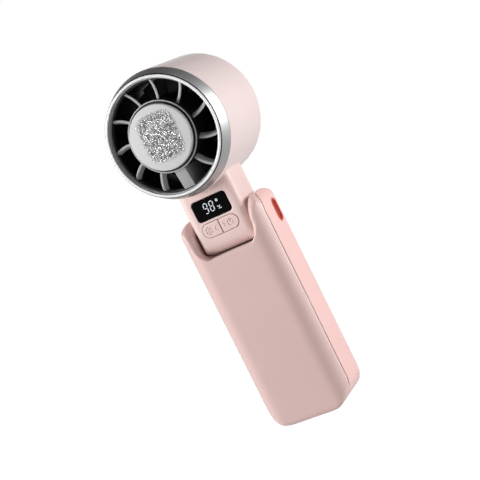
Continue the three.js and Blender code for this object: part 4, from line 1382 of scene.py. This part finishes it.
# %% [markdown]
# **Cold plate.** A satin disc with a slightly lighter turned edge. Moisture has frozen on its
# middle in a rounded square patch of small beads, which sparkle because each mirrors the room.
# %% Turn the plate
PLATE_RADIUS = plate_high[0]
plate_front = plate_low[1]
belongs(turned("cold_plate_disc", soften(
    [(0, plate_front), (PLATE_RADIUS, plate_front), (PLATE_RADIUS, plate_high[1]),
     (0, plate_high[1])], (0, 0.6, 0.1, 0), 6), chilled, sharp=60),
    "head", "chilled_alloy", "cold_plate")

# %% Freeze the droplets
chance = np.random.default_rng(7)


def droplet(x, z, radius, height):
    """A low bead of eight facets, so that neighbours glint in different directions."""
    sides = 8
    twist = chance.uniform(0, math.pi)
    tip_x, tip_z = chance.normal(0, radius * 0.25, 2)
    vertices, faces = [], []
    for level, (share, lift) in enumerate(((1.0, -0.02), (0.72, 0.62), (0.0, 1.0))):
        count = sides if share else 1
        for k in range(count):
            angle = twist + 2 * math.pi * k / sides
            wobble = 1 + chance.uniform(-0.12, 0.12)
            vertices.append((x + share * radius * wobble * math.cos(angle) + tip_x * (1 - share),
                             plate_front - lift * height,
                             z + share * radius * wobble * math.sin(angle) + tip_z * (1 - share)))
    for k in range(sides):
        m = (k + 1) % sides
        faces.append([k, m, sides + m, sides + k])
        faces.append([sides + k, sides + m, 2 * sides])
    faces.append(list(range(sides - 1, -1, -1)))
    return vertices, faces


def frost_patch(half_x=9.9, half_z=11.3, pitch=0.78):
    centre_x, centre_z = 0.4, head_z + 0.5
    beads = []
    for row in range(int(2 * half_z / pitch)):
        for column in range(int(2 * half_x / pitch)):
            x = centre_x - half_x + (column + 0.5 * (row % 2)) * pitch + chance.normal(0, 0.13)
            z = centre_z - half_z + row * pitch + chance.normal(0, 0.13)
            edge = float(plate(np.array(x), np.array(z), (centre_x - half_x, centre_z - half_z),
                               (centre_x + half_x, centre_z + half_z), [3.2] * 4))
            if edge > -0.4 or chance.uniform() < 0.5:
                continue
            size = chance.uniform(0.22, 0.40) * (0.62 + 0.38 * min(1, -edge / 3))
            beads.append(droplet(x, z, size, size * chance.uniform(0.5, 0.9)))
    return beads


frost = frost_patch()
belongs(merged("frost_beads", frost, water, sharp=20), "head", "chilled_alloy", "cold_plate")

# %% [markdown]
# **Rear grille.** Twenty slim bars run from a small cap to the outer rim. Air enters here.
# %% Sweep the bars and turn the rings of the rear grille
grille_rim = rear_grille_high[0]
CAP_RADIUS = 8
bar_front, bar_back = rear_grille_high[1] - 3.0, rear_grille_high[1] - 0.1


def rear_bar(turn):
    rings = []
    for radius in np.linspace(CAP_RADIUS - 0.5, grille_rim - 1, 6):
        section = soften([(-0.55, bar_front), (0.55, bar_front), (0.55, bar_back),
                          (-0.55, bar_back)], 0.3, 3)
        rings.append([about_axis(radius, turn, across, y) for across, y in section])
    return tube(rings)


belongs(merged("intake_bars", [rear_bar(2 * math.pi * k / 20) for k in range(20)], vane_grey),
        "head", "grey_plastic", "rear_grille")
belongs(turned("intake_rim", soften(
    [(grille_rim - 1.9, rear_grille_low[1]), (grille_rim, rear_grille_low[1]),
     (grille_rim, bar_back + 0.1), (grille_rim - 1.9, bar_back + 0.1)], 0.35), vane_grey),
    "head", "grey_plastic", "rear_grille")
belongs(turned("intake_ring", soften(
    [(17.5, bar_front), (18.6, bar_front), (18.6, bar_back), (17.5, bar_back)], 0.3), vane_grey),
    "head", "grey_plastic", "rear_grille")
belongs(turned("intake_cap", soften(
    [(0, bar_front), (CAP_RADIUS, bar_front), (CAP_RADIUS, bar_back - 0.4), (6.5, bar_back + 0.1),
     (0, bar_back + 0.1)], (0, 0.2, 0.6, 0.8, 0), 5), vane_grey, sharp=60),
    "head", "grey_plastic", "rear_grille")

# %% [markdown]
# ## Impeller
# Eleven twisted blades on a round hub. It is black and sits deep in the duct, so it shows mostly
# as soft dark shapes between the vanes.
# %% Sweep the blades and turn the hub
wheel_low, wheel_high = box_mm("impeller")
BLADES = 11
WHEEL_HUB = 14.6
wheel_tip = (wheel_high[0] - wheel_low[0]) / 2


def blade(turn, root_chord=19.0, tip_chord=24.0, thick=1.1):
    middle = (wheel_low[1] + wheel_high[1]) / 2
    rings = []
    for s in np.linspace(0, 1, 8):
        radius = WHEEL_HUB - 0.4 + s * (wheel_tip - WHEEL_HUB + 0.3)
        pitch = math.radians(46 + 20 * s)
        chord = root_chord + (tip_chord - root_chord) * s
        section = []
        for k in range(14):
            angle = 2 * math.pi * k / 14
            along = math.cos(angle) * chord / 2
            belly = math.sin(angle) * thick / 2 * (0.6 + 0.4 * math.cos(angle / 2) ** 2)
            belly += 0.9 * (1 - (2 * along / chord) ** 2)
            across = along * math.sin(pitch) + belly * math.cos(pitch)
            y = middle + (along * math.cos(pitch) - belly * math.sin(pitch)) * 0.98
            section.append((across, min(max(y, wheel_low[1] + 0.1), wheel_high[1] - 0.1)))
        rings.append([about_axis(math.sqrt(max(radius ** 2 - across ** 2, 1)), turn, across, y)
                      for across, y in section])
    return tube(rings)


belongs(merged("wheel_blades", [blade(2 * math.pi * k / BLADES) for k in range(BLADES)],
               duct_black), "rotor", "black_plastic", "impeller")
belongs(turned("wheel_hub", soften(
    [(13.4, wheel_low[1]), (WHEEL_HUB, wheel_low[1]), (WHEEL_HUB, wheel_high[1]),
     (1.3, wheel_high[1]), (1.3, wheel_high[1] - 1.6), (13.4, wheel_high[1] - 1.6)],
    (0.1, 0.3, 1.6, 0.1, 0.1, 0.1), 5), duct_black), "rotor", "black_plastic", "impeller")
